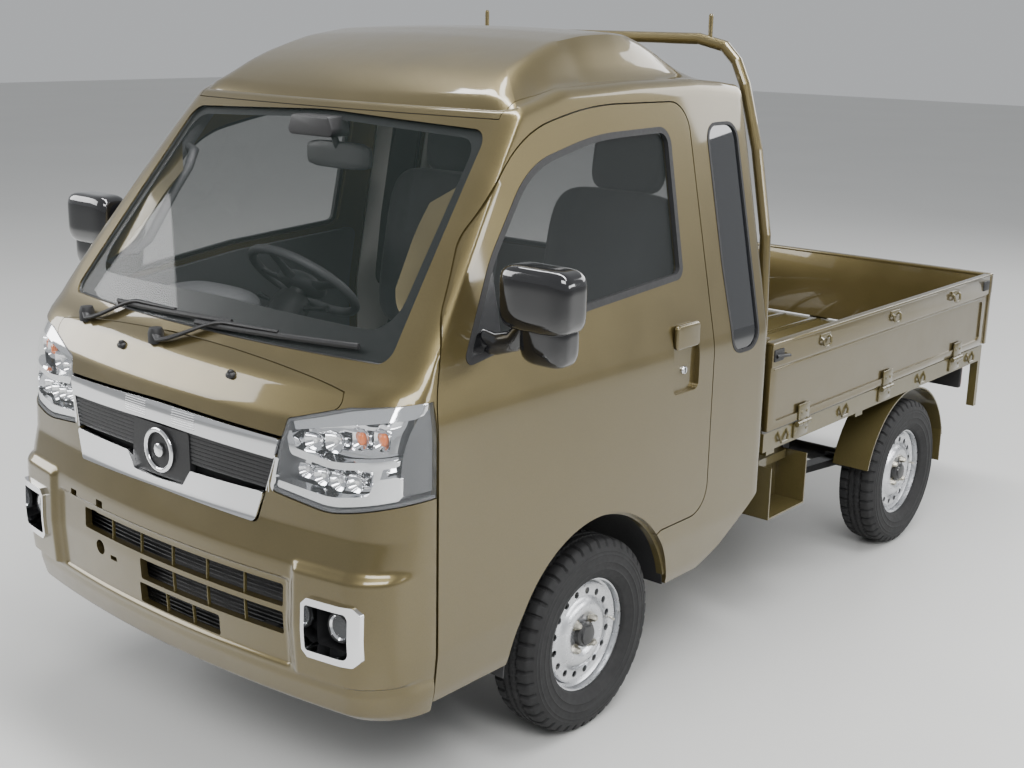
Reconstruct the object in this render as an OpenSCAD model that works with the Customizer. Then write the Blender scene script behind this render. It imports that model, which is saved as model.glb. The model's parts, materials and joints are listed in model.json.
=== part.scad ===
// Small cab-over pickup truck with a raised roof and a drop-sided bed.
// +X is the truck's left side, -Y is its front, +Z is up.
// The origin is on the ground, at the middle of the length and of the width.

/* [Overall] */
// Length from the bumper to the tailgate hinges
overall_length = 3395; // [3300:5:3480]
// Width of the body without mirrors
body_width = 1475; // [1430:5:1520]
// Distance between the axles
wheelbase = 1900; // [1850:5:1950]
// From the bumper's nose to the front axle
front_overhang = 870.5; // [860:0.5:885]
// From the bumper's nose to the back of the cab
cab_length = 1682; // [1660:1:1684]

/* [Cab] */
// Height of the gutter at the roof's sides
gutter_height = 1712; // [1700:1:1730]
// Height of the raised middle of the roof
roof_height = 1842; // [1800:1:1860]
// Half width of the raised part of the roof
hump_half = 520; // [460:5:540]
// Height where the sides start to lean in
belt_height = 1000; // [980:1:1020]
// How far the sides lean in for each millimetre of height
side_lean = 0.2; // [0.17:0.01:0.22]
// Height of the lowest edge of the body
skirt_height = 318; // [300:1:330]
// Thickness of doors and side walls
side_wall = 55; // [50:1:60]
// Thickness of the back wall and the roof
panel_wall = 30; // [20:1:36]
// Thickness of the bumper, hood and front panels
front_wall = 34; // [26:1:40]
// Height of the foot well's floor
cab_floor = 470; // [460:1:480]
// Height of the platform under the seats
seat_platform = 690; // [680:1:700]

/* [Glass] */
// Thickness of the glass
glass = 6; // [4:1:8]
// Lean of the windscreen from level
screen_angle = 49.7; // [48:0.1:52]
// Sideways bow radius of the windscreen
screen_bow = 4200; // [3800:50:5200]

/* [Doors] */
// From the nose to the door's front edge
door_front_from_nose = 242.5; // [240:0.5:246]
// Length of the door
door_length = 1120; // [1110:1:1126]
// Gap around the doors
door_gap = 8; // [7:0.5:9]
// Radius of the door's hinge pin
door_pin = 5; // [4:0.5:6]
// From the door's front edge back to its hinge pins
hinge_setback = 40; // [36:1:44]
// From the door's outer face in to its hinge pins
hinge_inset = 15; // [14:0.5:17]

/* [Wheels] */
// Outer diameter of the tyres
tyre_diameter = 537; // [525:1:545]
// Width of the tyres
tyre_width = 145; // [135:1:150]
// Distance between the middles of the tyres on one axle
track = 1290; // [1270:2:1296]
// Diameter of the rim's well seen by the tyre
rim_diameter = 305; // [300:1:312]
// Radius of the front arches
arch_radius = 350; // [340:1:356]
// Number of round vents in each rim
vents = 16; // [12:1:18]
// Circle of the wheel nuts
nut_circle = 100; // [98:1:114]

/* [Bed] */
// Height of the bed's floor
bed_height = 650; // [640:1:660]
// Height of the gates above the floor
gate_height = 285; // [250:1:310]
// Thickness of the gates
gate_wall = 27; // [24:1:30]
// Gap between the cab and the bed
bed_gap = 22; // [18:1:30]
// Height of the guard frame's top bar
guard_height = 1829; // [1780:1:1850]
// Radius of the guard frame's tube
guard_tube = 17; // [14:1:20]
// Radius of the gate hinge pins
gate_pin = 3.5; // [3:0.5:4]

/* [Chassis] */
// Distance between the middles of the frame rails
rail_spacing = 740; // [730:5:750]
// Width of a frame rail
rail_width = 60; // [50:1:62]
// Height of a frame rail's section
rail_height = 90; // [80:1:95]
// Radius of the wheel spindles
spindle = 14; // [12:0.5:16]
// Radial running clearance at pins and spindles
running = 0.05; // [0.03:0.01:0.09]

/* [Hidden] */

FACETS = 48;
FINE = 96;
OLIVE = "#8a7d5a";
DARK_OLIVE = "#6d6244";
BLACK = "#1c1c1e";
GREY = "#4a4b4d";
SILVER = "#b9bbbd";
CHROME = "#d8dade";
SMOKE = [0.15, 0.18, 0.18, 0.5];

half_width = body_width / 2;
nose_y = -overall_length / 2;
tail_y = overall_length / 2;
front_axle_y = nose_y + front_overhang;
rear_axle_y = front_axle_y + wheelbase;
cab_rear_y = nose_y + cab_length;
bed_front_y = cab_rear_y + bed_gap;
hub_z = tyre_diameter / 2;
wheel_x = track / 2;

door_front_y = nose_y + door_front_from_nose;
door_rear_y = door_front_y + door_length;
hinge_y = door_front_y + hinge_setback;
hinge_x = half_width - hinge_inset;
hinge_heights = [560, 960];
pin_half = 32;
arm_half = 10;
eye_radius = 8;

// Sizes of the gates' hinges, on the bed's edge
gate_outer_x = half_width - 6.5;
gate_inner_x = gate_outer_x - gate_wall;
gate_outer_y = tail_y - 6.5;
gate_inner_y = gate_outer_y - gate_wall;
gate_hinge_z = bed_height - 5;
gate_bottom_z = bed_height + 7;
gate_top_z = bed_height + gate_height;
gate_lug = 36;
gate_lug_radius = 6.5;
clear = 5;
plate_hole = 3.5;
column_shaft = 9;
seam = 0.5;
seat = 0.3;

// Places of the wheels and the steering axis
kingpin_low = [600, 190];
kingpin_high = [535, 652];
kingpin_lean = atan2(kingpin_low.x - kingpin_high.x, kingpin_high.y - kingpin_low.y);
arch_centre = [front_axle_y - 20, hub_z + 2];

// Places along the cab
front_bow = 5000;
screen_foot = [-1546, 1113];
panel_rear_y = -1566;
bulkhead_y = -1480;
bulkhead_wall = 20;
step_y = -1190;
floor_wall = 25;
roof_edge_x = 546;
roof_front_y = -1104;
roof_rear_y = -62;

// One rounded corner of an outline, between its neighbours a and c
function corner(a, b, c, r, n) =
    let (
        u = (a - b) / norm(a - b),
        v = (c - b) / norm(c - b),
        open = acos(u * v),
        back = r / tan(open / 2),
        middle = b + (u + v) / norm(u + v) * r / sin(open / 2),
        start = b + u * back - middle,
        stop = b + v * back - middle,
        first = atan2(start.y, start.x),
        sweep = (atan2(stop.y, stop.x) - first + 540) % 360 - 180
    )
    [for (i = [0:n]) middle + r * [cos(first + sweep * i / n), sin(first + sweep * i / n)]];

// Outline through [x, y, radius] points, its corners turned into arcs
function rounded(points, n = 5) =
    let (count = len(points), flat = [for (p = points) [p.x, p.y]])
    [for (i = [0:count - 1])
        each points[i].z == 0
            ? [flat[i]]
            : corner(flat[(i + count - 1) % count], flat[i], flat[(i + 1) % count], points[i].z, n)];

// Outline with each side moved out by d, for a counter-clockwise outline
function grown(points, d) =
    let (count = len(points))
    [for (i = [0:count - 1])
        let (
            a = points[(i + count - 1) % count],
            b = points[i],
            c = points[(i + 1) % count],
            u = (b - a) / norm(b - a),
            v = (c - b) / norm(c - b),
            m = [u.y + v.y, -u.x - v.x]
        )
        b + m * d / (1 + u * v)];

// Outline in [y, z], carried from x0 to x1
module across(x0, x1, points) {
    translate([x0, 0, 0]) rotate([90, 0, 90]) linear_extrude(x1 - x0) polygon(points);
}

// Outline in [x, z], carried from y0 to y1
module along(y0, y1, points) {
    translate([0, y1, 0]) rotate([90, 0, 0]) linear_extrude(y1 - y0) polygon(points);
}

// Outline in [x, y], carried from z0 to z1
module upward(z0, z1, points) {
    translate([0, 0, z0]) linear_extrude(z1 - z0) polygon(points);
}

// Box from its lowest to its highest corner
module block(low, high) {
    translate(low) cube(high - low);
}

// Rod of radius r from a to b
module rod(a, b, r) {
    d = b - a;
    tilt = acos(d.z / norm(d));
    turn = atan2(d.y, d.x);
    translate(a) rotate([0, tilt, turn]) cylinder(h = norm(d), r = r, $fn = FACETS);
}

module both_sides() {
    children();
    mirror([1, 0, 0]) children();
}

// ---- Cab envelope, each face moved in by t ----

function side_outline(t) = rounded([
    [cab_rear_y - t, 505 + t / 2, 12],
    [cab_rear_y - t, gutter_height - t, 60],
    [-1000, gutter_height - t, 150],
    [-1098 + t * 1.3, 1640 - t * 0.6, 30],
    [-1546 + t * 1.4, 1113 - t * 0.1, 20],
    [-1566 + t, 1100 - t * 0.3, 14],
    [-1612 + t, 1050 - t * 0.2, 60],
    [-1662 + t, 945, 50],
    [-1668 + t, 860, 40],
    [nose_y + t, 640, 90],
    [nose_y + t, 400, 60],
    [-1610 + t, skirt_height + t, 16],
    [-345, skirt_height + t, 14],
    [-230, 368 + t, 20]
]);

function lean_x(z) = half_width - max(0, z - belt_height) * side_lean;

function front_outline(t, top) =
    let (
        half = rounded([
            [680 - t, skirt_height - 20, 0],
            [half_width - 14 - t, skirt_height + 20, 14],
            [half_width - t, 430, 80],
            [half_width - t, belt_height, 200],
            [lean_x(top - 42) - t, top - 42, 34],
            [lean_x(top - 42) - 80 - t, top, 30]
        ])
    )
    concat(half, [for (i = [len(half) - 1:-1:0]) [-half[i].x, half[i].y]]);

function bow_depth(x) = x * x / (2 * front_bow);

function plan_outline(t) =
    let (
        front = [for (x = [0:130:390]) [x, nose_y + t + bow_depth(x)]],
        ends = rounded([
            [520, nose_y + t + bow_depth(520), 0],
            [690 - t, nose_y + 52 + t, 70],
            [half_width - t, nose_y + 200 + t, 130],
            [half_width - t, 0, 0]
        ]),
        half = concat(front, ends)
    )
    concat(half, [for (i = [len(half) - 1:-1:1]) [-half[i].x, half[i].y]]);

// Bowed outline of the windscreen: across, and inwards from the glass
function screen_outline(t) =
    let (
        half = concat(
            [for (x = [0:160:480]) [x, t + x * x / (2 * screen_bow)]],
            rounded([
                [640, t + 49, 0],
                [700, t + 62, 30],
                [half_width + 10, t + 110, 0],
                [half_width + 10, 1900, 0]
            ])
        )
    )
    concat(half, [for (i = [len(half) - 1:-1:1]) [-half[i].x, half[i].y]]);

// Everything behind the windscreen's surface
module behind_screen(t) {
    translate([0, screen_foot.x, screen_foot.y])
        rotate([screen_angle - 90, 0, 0])
            translate([0, 0, -1200])
                linear_extrude(2600)
                    polygon(screen_outline(t));
}

// The cab's outer surface moved in by t, and by side_t at its sides
module envelope(t, side_t) {
    intersection() {
        across(-half_width - 5, half_width + 5, side_outline(t));
        along(nose_y - 5, 5, front_outline(side_t, gutter_height - t));
        upward(200, 1900, plan_outline(t));
        behind_screen(t);
    }
}

// The layer between two depths below the sides
module side_band(t0, t1) {
    difference() {
        along(-1900, 100, front_outline(t0, 1900));
        along(-1910, 110, front_outline(t1, 1950));
    }
}

function hump_side(t) = rounded([
    [-1040 + t, 1600, 0],
    [-75 - t, 1600, 0],
    [-75 - t, gutter_height - t, 30],
    [-395 - t, roof_height - 10 - t, 140],
    [-620, roof_height + 6 - t, 300],
    [-900 + t, roof_height - 60 - t, 260],
    [-1085 + t, 1655 - t, 40]
]);

function hump_front(t) =
    let (
        half = rounded([
            [hump_half + 30 - t, gutter_height - 112, 0],
            [hump_half + 20 - t, gutter_height + 10 - t, 60],
            [hump_half - 60 - t, roof_height - t - 18, 70],
            [0, roof_height - t + 8, 0]
        ])
    )
    concat(half, [for (i = [len(half) - 2:-1:0]) [-half[i].x, half[i].y]]);

module hump(t) {
    intersection() {
        across(-hump_half - 80, hump_half + 80, hump_side(t));
        along(-1200, 0, hump_front(t));
    }
}

// ---- Openings in the cab, as [y, z] from the side and [x, z] from ahead ----

door_outline = rounded([
    [door_front_y, skirt_height, 6],
    [-1000, skirt_height, 0],
    [-560, 505, 0],
    [door_rear_y, 505, 80],
    [door_rear_y, 1650, 80],
    [-760, 1654, 260],
    [-1050, 1600, 160],
    [-1268, 1378, 200],
    [-1400, 1195, 200],
    [door_front_y, 1030, 120]
]);

window_outline = rounded([
    [door_rear_y - 115, 1192, 34],
    [door_rear_y - 98, 1588, 45],
    [-760, 1582, 300],
    [-1036, 1526, 140],
    [-1215, 1326, 160],
    [-1350, 1110, 14],
    [-875, 1166, 300]
]);

quarter_outline = rounded([
    [-235, 945, 48],
    [-92, 945, 55],
    [-92, 1588, 50],
    [-250, 1588, 45],
    [-250, 1200, 400]
]);

screen_opening = rounded([
    [-604, 1118, 40],
    [604, 1118, 40],
    [546, 1606, 45],
    [0, 1626, 1200],
    [-546, 1606, 45]
]);

rear_opening = rounded([
    [-500, 1130, 60],
    [500, 1130, 60],
    [450, 1590, 60],
    [-450, 1590, 60]
]);

module arches(x0, x1, r) {
    translate([x0, arch_centre.x, arch_centre.y])
        rotate([0, 90, 0])
            cylinder(h = x1 - x0, r = r, $fn = FINE);
}

// ---- Regions of the front, seen from ahead ----

grille_outline = rounded([
    [-349, 729, 12],
    [-120, 705, 200],
    [120, 705, 200],
    [349, 729, 12],
    [414, 938, 6],
    [0, 950, 2500],
    [-414, 938, 6]
]);

lamp_outline = rounded([
    [388, 813, 12],
    [560, 792, 200],
    [half_width + 30, 838, 0],
    [half_width + 30, 1066, 0],
    [580, 1030, 200],
    [425, 984, 10]
]);

// Above the grille and the headlights
upper_outline = [
    [half_width + 40, 1070],
    [half_width + 40, 1900],
    [-half_width - 40, 1900],
    [-half_width - 40, 1070],
    [-580, 1030],
    [-426, 984],
    [-416, 941],
    [0, 953],
    [416, 941],
    [426, 984],
    [580, 1030]
];

panel_outline = [
    [-416, 941],
    [0, 953],
    [416, 941],
    [426, 984],
    [580, 1030],
    [520, 1130],
    [-520, 1130],
    [-580, 1030],
    [-426, 984]
];

// The layer between two depths below the front, ahead of the doors
module front_skin(t0, t1) {
    intersection() {
        difference() {
            envelope(t0, t0);
            envelope(t1, t1);
        }
        block([-900, nose_y - 20, 0], [900, door_front_y - door_gap, 1300]);
    }
}

module seen_from_ahead(points, g) {
    along(nose_y - 30, -1300, grown(points, g));
}

lamp_depth = 60;

module headlight_regions(g) {
    both_sides() seen_from_ahead(lamp_outline, g);
}

module panel_region(g) {
    intersection() {
        seen_from_ahead(panel_outline, g);
        block([-700, nose_y - 40, 900], [700, panel_rear_y + g, 1200]);
    }
}

// ---- Cab ----

// Room for people, above the floor and the seat platform
module cab_room() {
    intersection() {
        envelope(panel_wall, side_wall);
        across(-700, 700, [
            [bulkhead_y, cab_floor],
            [step_y, cab_floor],
            [step_y, seat_platform],
            [0, seat_platform],
            [0, 1900],
            [bulkhead_y, 1900]
        ]);
    }
}

// Space under the floor and under the seat platform
module under_floor() {
    reach = half_width - side_wall;
    block([-600, nose_y, 0], [600, step_y, cab_floor - floor_wall]);
    block([-reach, step_y + floor_wall, 0], [reach, 100, seat_platform - floor_wall]);
    block([-reach, -1300, 0], [reach, step_y + floor_wall, cab_floor - floor_wall]);
}

module door_openings() {
    intersection() {
        side_band(-20, side_wall + 6);
        across(-900, 900, grown(door_outline, door_gap));
    }
}

module hinge_arms() {
    for (z = hinge_heights) {
        block([650, hinge_y - 7, z - arm_half], [hinge_x, hinge_y + 7, z + arm_half]);
        translate([hinge_x, hinge_y, z - arm_half])
            cylinder(h = 2 * arm_half, r = eye_radius, $fn = FACETS);
        translate([hinge_x, hinge_y, z - pin_half])
            cylinder(h = 2 * pin_half, r = door_pin, $fn = FACETS);
    }
}

module cab_body() {
    color(OLIVE) {
        difference() {
            envelope(0, 0);
            cab_room();
            under_floor();
            intersection() {
                envelope(front_wall, front_wall);
                block([-800, nose_y, 0], [800, bulkhead_y - bulkhead_wall, 1300]);
            }
            difference() {
                front_skin(-30, front_wall + seam);
                along(nose_y - 40, -1200, upper_outline);
            }
            intersection() {
                front_skin(-30, front_wall + seam);
                panel_region(seam);
            }
            door_openings();
            // Room for the opening door's front edge, which tucks under at the skirt
            both_sides() block([620, door_front_y - door_gap, 200], [700, -1300, cab_floor]);
            both_sides() arches(410, 900, arch_radius);
            both_sides() across(500, 900, quarter_outline);
            along(-1900, -900, screen_opening);
            along(-300, 100, rear_opening);
            block([-roof_edge_x, roof_front_y, 1632], [roof_edge_x, roof_rear_y, 1900]);
        }
        both_sides() {
            block([600, bulkhead_y - 5, cab_floor - 5], [652, hinge_y + 15, 1070]);
            hinge_arms();
        }
    }
}

module roof() {
    color(OLIVE)
        difference() {
            union() {
                intersection() {
                    envelope(0, 0);
                    block(
                        [-roof_edge_x + seam, roof_front_y + seam, 1632 + seam],
                        [roof_edge_x - seam, roof_rear_y - seam, 1900]
                    );
                }
                intersection() {
                    hump(0);
                    block(
                        [-roof_edge_x + seam, roof_front_y + seam, 1632 + seam],
                        [roof_edge_x - seam, roof_rear_y - seam, 1900]
                    );
                }
            }
            envelope(panel_wall, side_wall);
            hump(panel_wall);
        }
}

module front_panel() {
    color(OLIVE)
        difference() {
            intersection() {
                front_skin(0, front_wall);
                panel_region(0);
            }
            for (post = wiper_posts) translate([post.x, post.y, 980])
                cylinder(h = 200, r = wiper_post + seat, $fn = FACETS);
        }
}

// ---- Front end ----

plate_centre_x = -240;

// Rows of openings under the grille: [left, right, bottom, top, cells]
air_rows = [
    [-335, 440, 545, 598, 7],
    [-75, 440, 478, 535, 4],
    [-85, 215, 412, 466, 3]
];

module air_openings() {
    for (row = air_rows)
        for (i = [0:row[4] - 1]) {
            step = (row[1] - row[0]) / row[4];
            left = row[0] + i * step + 4;
            block([left, nose_y - 20, row[2]], [left + step - 8, nose_y + 80, row[3]]);
        }
}

fog_place = [600, 530];
fog_half = [78, 74];

module fog_region(g) {
    both_sides()
        block(
            [fog_place.x - fog_half.x - g, nose_y - 30, fog_place.y - fog_half.y - g],
            [fog_place.x + fog_half.x + g, -1500, fog_place.y + fog_half.y + g]
        );
}

module front_bumper() {
    color(OLIVE)
        difference() {
            front_skin(0, front_wall);
            along(nose_y - 40, -1200, grown(upper_outline, seam));
            headlight_regions(seam);
            seen_from_ahead(grille_outline, seam);
            air_openings();
            fog_region(seam);
            block([-half_width + side_wall, nose_y + 70, 200],
                  [half_width - side_wall, -1000, rail_low + rail_height + 10]);
            for (x = [-105, 105])
                translate([plate_centre_x + x, nose_y - 10, 606])
                    rotate([-90, 0, 0])
                        cylinder(h = 100, r = plate_hole, $fn = FACETS);
        }
}

module grille() {
    color(CHROME)
        intersection() {
            front_skin(0, front_wall);
            seen_from_ahead(grille_outline, 0);
        }
}

module headlights() {
    color(CHROME)
        intersection() {
            difference() {
                union() {
                    front_skin(0, front_wall);
                    intersection() {
                        front_skin(front_wall - 1, front_wall + lamp_depth);
                        block([-900, nose_y, 780], [900, bulkhead_y - bulkhead_wall - seat, 1100]);
                    }
                }
                seen_from_ahead(grille_outline, seam);
                along(nose_y - 40, -1200, grown(upper_outline, seam));
            }
            headlight_regions(0);
        }
}

module fog_lamps() {
    color(CHROME)
        intersection() {
            difference() {
                front_skin(0, front_wall + 30);
                both_sides()
                    block(
                        [fog_place.x - fog_half.x + 18, nose_y - 30, fog_place.y - fog_half.y + 18],
                        [fog_place.x + fog_half.x - 24, nose_y + 80, fog_place.y + fog_half.y - 18]
                    );
            }
            fog_region(0);
        }
}

// ---- Glass ----

module windshield() {
    color(SMOKE)
        intersection() {
            difference() {
                behind_screen(4);
                behind_screen(4 + glass);
            }
            along(-1700, -900, grown(screen_opening, -seat));
            block([-700, -1700, 1000], [700, -1000, 1700]);
        }
}

module cab_windows() {
    color(SMOKE) {
        along(cab_rear_y - 10 - glass, cab_rear_y - 10, grown(rear_opening, -seat));
        intersection() {
            side_band(8, 8 + glass);
            across(-900, 900, grown(quarter_outline, -seat));
        }
    }
}

// ---- Doors ----

// A left door, its front edge cut away round the hinge arms
module door() {
    difference() {
        intersection() {
            envelope(0, 0);
            side_band(0, side_wall);
            across(100, 900, door_outline);
        }
        arches(100, 900, arch_radius);
        across(100, 900, window_outline);
        for (z = hinge_heights) {
            low = z - arm_half - clear;
            high = z + arm_half + clear;
            block([600, hinge_y - 60, low], [hinge_x + 6, hinge_y, high]);
            block([600, hinge_y - 1, low], [hinge_x, hinge_y + 13, high]);
            translate([hinge_x, hinge_y, low])
                cylinder(h = high - low, r = eye_radius + 2.5, $fn = FACETS);
            translate([hinge_x, hinge_y, z - pin_half - 1])
                cylinder(h = 2 * pin_half + 2, r = door_pin + running, $fn = FACETS);
        }
        handle_recess();
    }
}

handle_y = door_rear_y - 130;

module handle_recess() {
    block([half_width - 14, handle_y - 60, 880], [800, handle_y + 60, 1070]);
}

module door_handle() {
    block([half_width - 13.7, handle_y - 44, 985], [half_width - 2, handle_y + 44, 1062]);
}

module left_door() {
    color(OLIVE) door();
    color(OLIVE) door_handle();
}

module right_door() {
    mirror([1, 0, 0]) left_door();
}

module door_glass() {
    color(SMOKE)
        intersection() {
            side_band(14, 14 + glass);
            across(100, 900, grown(window_outline, -seat));
            block([100, delta_y + seat, 1000], [900, 0, 1700]);
        }
}

module left_door_glass() {
    door_glass();
}

module right_door_glass() {
    mirror([1, 0, 0]) door_glass();
}

// Mirror on its three-cornered foot at the front of the window
delta_y = -1212;
mirror_low = [752, -1286, 1152];
mirror_high = [930, -1190, 1336];
mirror_round = 26;

module door_mirror() {
    color(BLACK) {
        intersection() {
            side_band(2, 24);
            across(100, 900, grown(window_outline, -seat));
            block([100, -1400, 1000], [900, delta_y, 1700]);
        }
        block([688, -1262, 1142], [780, -1222, 1176]);
        hull()
            for (x = [mirror_low.x + mirror_round, mirror_high.x - mirror_round])
                for (y = [mirror_low.y + mirror_round, mirror_high.y - mirror_round])
                    for (z = [mirror_low.z + mirror_round, mirror_high.z - mirror_round])
                        translate([x, y, z]) sphere(r = mirror_round, $fn = 24);
    }
}

module left_mirror() {
    door_mirror();
}

module right_mirror() {
    mirror([1, 0, 0]) door_mirror();
}

// ---- Inside the cab ----

dash_half = 594;

module dashboard() {
    color(GREY)
        across(-dash_half, dash_half, rounded([
            [bulkhead_y + seat, 860, 0],
            [dash_low.x, dash_low.y, 30],
            [dash_low.x + 60, dash_low.y + 60 * dash_rise, 40],
            [-1180, 1000, 60],
            [-1300, 1068, 60],
            [bulkhead_y + seat, 1072, 0]
        ]));
}

wheel_place = [-340, -892, 1099];
column_lean = 40;
column_tube = 22;
column_length = (wheel_place.z - cab_floor - seat) / cos(column_lean) - column_tube * tan(column_lean);

// Outline of the dashboard from the side, its underside rising at dash_rise
dash_rise = 50 / 60;
dash_low = [-1250, 800];

function dash_under(y) = dash_low.y + (y - dash_low.x) * dash_rise - seat;

module steering_frame() {
    translate(wheel_place) rotate([-column_lean, 0, 0]) children();
}

module steering_column() {
    color(GREY) {
        steering_frame() {
            translate([0, 0, -column_length])
                cylinder(h = column_length - 230, r = column_tube, $fn = FACETS);
            translate([0, 0, -240]) cylinder(h = 200, r = 42, $fn = FACETS);
            translate([0, 0, -41]) cylinder(h = 45, r = column_shaft, $fn = FACETS);
        }
        // Bracket under the dashboard
        across(-360, -320, [
            [-1235, 700],
            [-1206, 700],
            [-1206, dash_under(-1206)],
            [-1235, dash_under(-1235)]
        ]);
    }
}

module steering_wheel() {
    color(BLACK)
        steering_frame()
            difference() {
                union() {
                    rotate_extrude($fn = FINE) translate([183, 0]) circle(r = 13, $fn = 24);
                    translate([0, 0, -26]) cylinder(h = 34, r = 58, $fn = FACETS);
                    for (a = [90, 210, 330]) rotate([0, 0, a]) block([40, -16, -14], [178, 16, -4]);
                }
                translate([0, 0, -27]) cylinder(h = 32, r = column_shaft + running, $fn = FACETS);
            }
}

seat_x = 340;
seat_half = 232;

module seat() {
    color(BLACK) {
        across(seat_x - seat_half, seat_x + seat_half, rounded([
            [-890, seat_platform + seat, 30],
            [-400, seat_platform + seat, 20],
            [-418, 822, 40],
            [-880, 850, 50]
        ]));
        across(seat_x - seat_half + 12, seat_x + seat_half - 12, rounded([
            [-396, seat_platform + seat, 20],
            [-260, seat_platform + seat, 20],
            [-160, 1360, 50],
            [-262, 1362, 40],
            [-414, 822, 30]
        ]));
        across(seat_x - 120, seat_x + 120, rounded([
            [-262, 1362 + seat, 12],
            [-160, 1362 + seat, 12],
            [-146, 1530, 40],
            [-232, 1540, 40]
        ]));
    }
}

module left_seat() {
    seat();
}

module right_seat() {
    mirror([1, 0, 0]) seat();
}

// Wiper posts on the front panel, and their arms and blades over the glass
wiper_posts = [[-440, -1590], [-100, -1600]];
wiper_post = 9;

module wipers() {
    color(BLACK)
        for (post = wiper_posts) {
            translate([post.x, post.y, 1000]) cylinder(h = 100, r = wiper_post, $fn = FACETS);
            rod([post.x, post.y, 1094], [post.x + 170, -1568, 1136], 7);
            rod([post.x + 170, -1568, 1136], [post.x + 330, -1556, 1141], 5);
        }
}

// ---- Chassis ----

rail_x = rail_spacing / 2;
rail_low = 345;
rail_high = 480;
rail_front_y = nose_y + 80;
rail_rear_y = tail_y - 60;

module frame_rail() {
    across(rail_x - rail_width / 2, rail_x + rail_width / 2, [
        [rail_front_y, rail_low],
        [-450, rail_low],
        [-200, rail_high],
        [rail_rear_y, rail_high],
        [rail_rear_y, rail_high + rail_height],
        [-200, rail_high + rail_height],
        [-450, rail_low + rail_height],
        [rail_front_y, rail_low + rail_height]
    ]);
}

module chassis_frame() {
    inner = rail_x - rail_width / 2;
    color(BLACK) {
        both_sides() {
            frame_rail();
            // Stub that carries the bumper
            block(
                [rail_x - 20, nose_y + front_wall + bow_depth(rail_x + 20)
                    + seat, rail_low + rail_height - 5],
                [rail_x + 20, rail_front_y + 60, rail_low + rail_height + 40]
            );
            // Cab mounts
            for (y = [-1440, -1240])
                block([rail_x - 25, y, rail_low + rail_height - 1],
                      [rail_x + 25, y + 40, cab_floor - floor_wall - seat]);
            block(
                [rail_x - 25, -120, rail_high + rail_height - 1],
                [rail_x + 25, -60, seat_platform - floor_wall - seat]
            );
            // Spring hangers
            for (y = [spring_front_y, spring_rear_y])
                block([rail_x + 20, y - 22, 318], [spring_x + 30, y + 22, rail_high + 40]);
        }
        for (y = [rail_front_y, -1120])
            block([-inner - 1, y, rail_low + 10], [inner + 1, y + 40, rail_low + rail_height - 10]);
        for (y = [60, 640, rail_rear_y - 40])
            block([-inner - 1, y, rail_high + 10], [inner + 1, y + 40, rail_high + rail_height - 10]);
    }
}

spring_x = 440;
spring_front_y = rear_axle_y - 460;
spring_rear_y = rear_axle_y + 460;

module front_suspension() {
    color(BLACK) {
        // Crossmember under the rails
        block([-rail_x - 25, front_axle_y - 45, 210], [rail_x + 25, front_axle_y + 45, 262]);
        both_sides() {
            block([rail_x - 25, front_axle_y - 40, 261],
                  [rail_x + 25, front_axle_y + 40, rail_low - seat]);
            // Lower arm and its ball pin
            across(rail_x - 20, kingpin_low.x - 18, [
                [front_axle_y - 30, kingpin_low.y - 38],
                [front_axle_y + 30, kingpin_low.y - 38],
                [front_axle_y + 30, kingpin_low.y - 18],
                [front_axle_y - 30, kingpin_low.y - 18]
            ]);
            block(
                [rail_x - 20, front_axle_y - 30, kingpin_low.y - 20],
                [rail_x + 20, front_axle_y + 30, 212]
            );
            on_kingpin() {
                translate([0, 0, -36]) cylinder(h = 24, r = 20, $fn = FACETS);
                translate([0, 0, -14]) cylinder(h = 34, r = 8, $fn = FACETS);
            }
            // Top mount with its pin
            translate([kingpin_high.x, front_axle_y, 636])
                cylinder(h = seat_platform - floor_wall - seat - 636, r = 40, $fn = FACETS);
            on_kingpin()
                translate([0, 0, kingpin_length - 40]) cylinder(h = 36, r = 8, $fn = FACETS);
        }
    }
}

kingpin_length = norm(kingpin_high - kingpin_low);

// Frame with +Z up the left steering axis, at the lower ball pin
module on_kingpin() {
    translate([kingpin_low.x, front_axle_y, kingpin_low.y]) rotate([0, -kingpin_lean, 0]) children();
}

module knuckle() {
    color(GREY)
        difference() {
            union() {
                on_kingpin() translate([0, 0, -10]) cylinder(h = 34, r = 18, $fn = FACETS);
                rod([544, front_axle_y, 295], [540, front_axle_y, 630], 20);
                block([540, front_axle_y - 22, 196], [604, front_axle_y + 22, 300]);
                block([528, front_axle_y - 24, 290], [562, front_axle_y + 24, 380]);
                translate([580, front_axle_y, hub_z]) rotate([0, 90, 0])
                    cylinder(h = 20, r = 60, $fn = FACETS);
                translate([580, front_axle_y, hub_z]) rotate([0, 90, 0])
                    cylinder(h = 104, r = spindle, $fn = FACETS);
            }
            on_kingpin() {
                translate([0, 0, -20]) cylinder(h = 42, r = 8 + running, $fn = FACETS);
                translate([0, 0, kingpin_length - 60]) cylinder(h = 60, r = 8 + running, $fn = FACETS);
            }
        }
}

module left_knuckle() {
    knuckle();
}

module right_knuckle() {
    mirror([1, 0, 0]) knuckle();
}

engine_rear_y = -180;

module engine() {
    color(GREY) {
        block([-255, -740, 250], [255, engine_rear_y, 628]);
        both_sides() block([250, -640, 360], [rail_x - rail_width / 2 - seat, -590, 420]);
    }
}

shaft_z = 300;

module propshaft() {
    color(BLACK)
        rod([0, engine_rear_y + 1, shaft_z], [0, rear_axle_y - 99, hub_z + 6], 26);
}

module exhaust() {
    color(SILVER) {
        rod([-150, engine_rear_y + seat, 300], [-150, 250, 300], 20);
        translate([-150, 245, 300]) rotate([-90, 0, 0]) cylinder(h = 420, r = 68, $fn = FACETS);
        rod([-150, 640, 300], [-320, 800, 284], 18);
        block([-156, 90, 300], [-144, 98, rail_high + 10 - seat]);
    }
}

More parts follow.
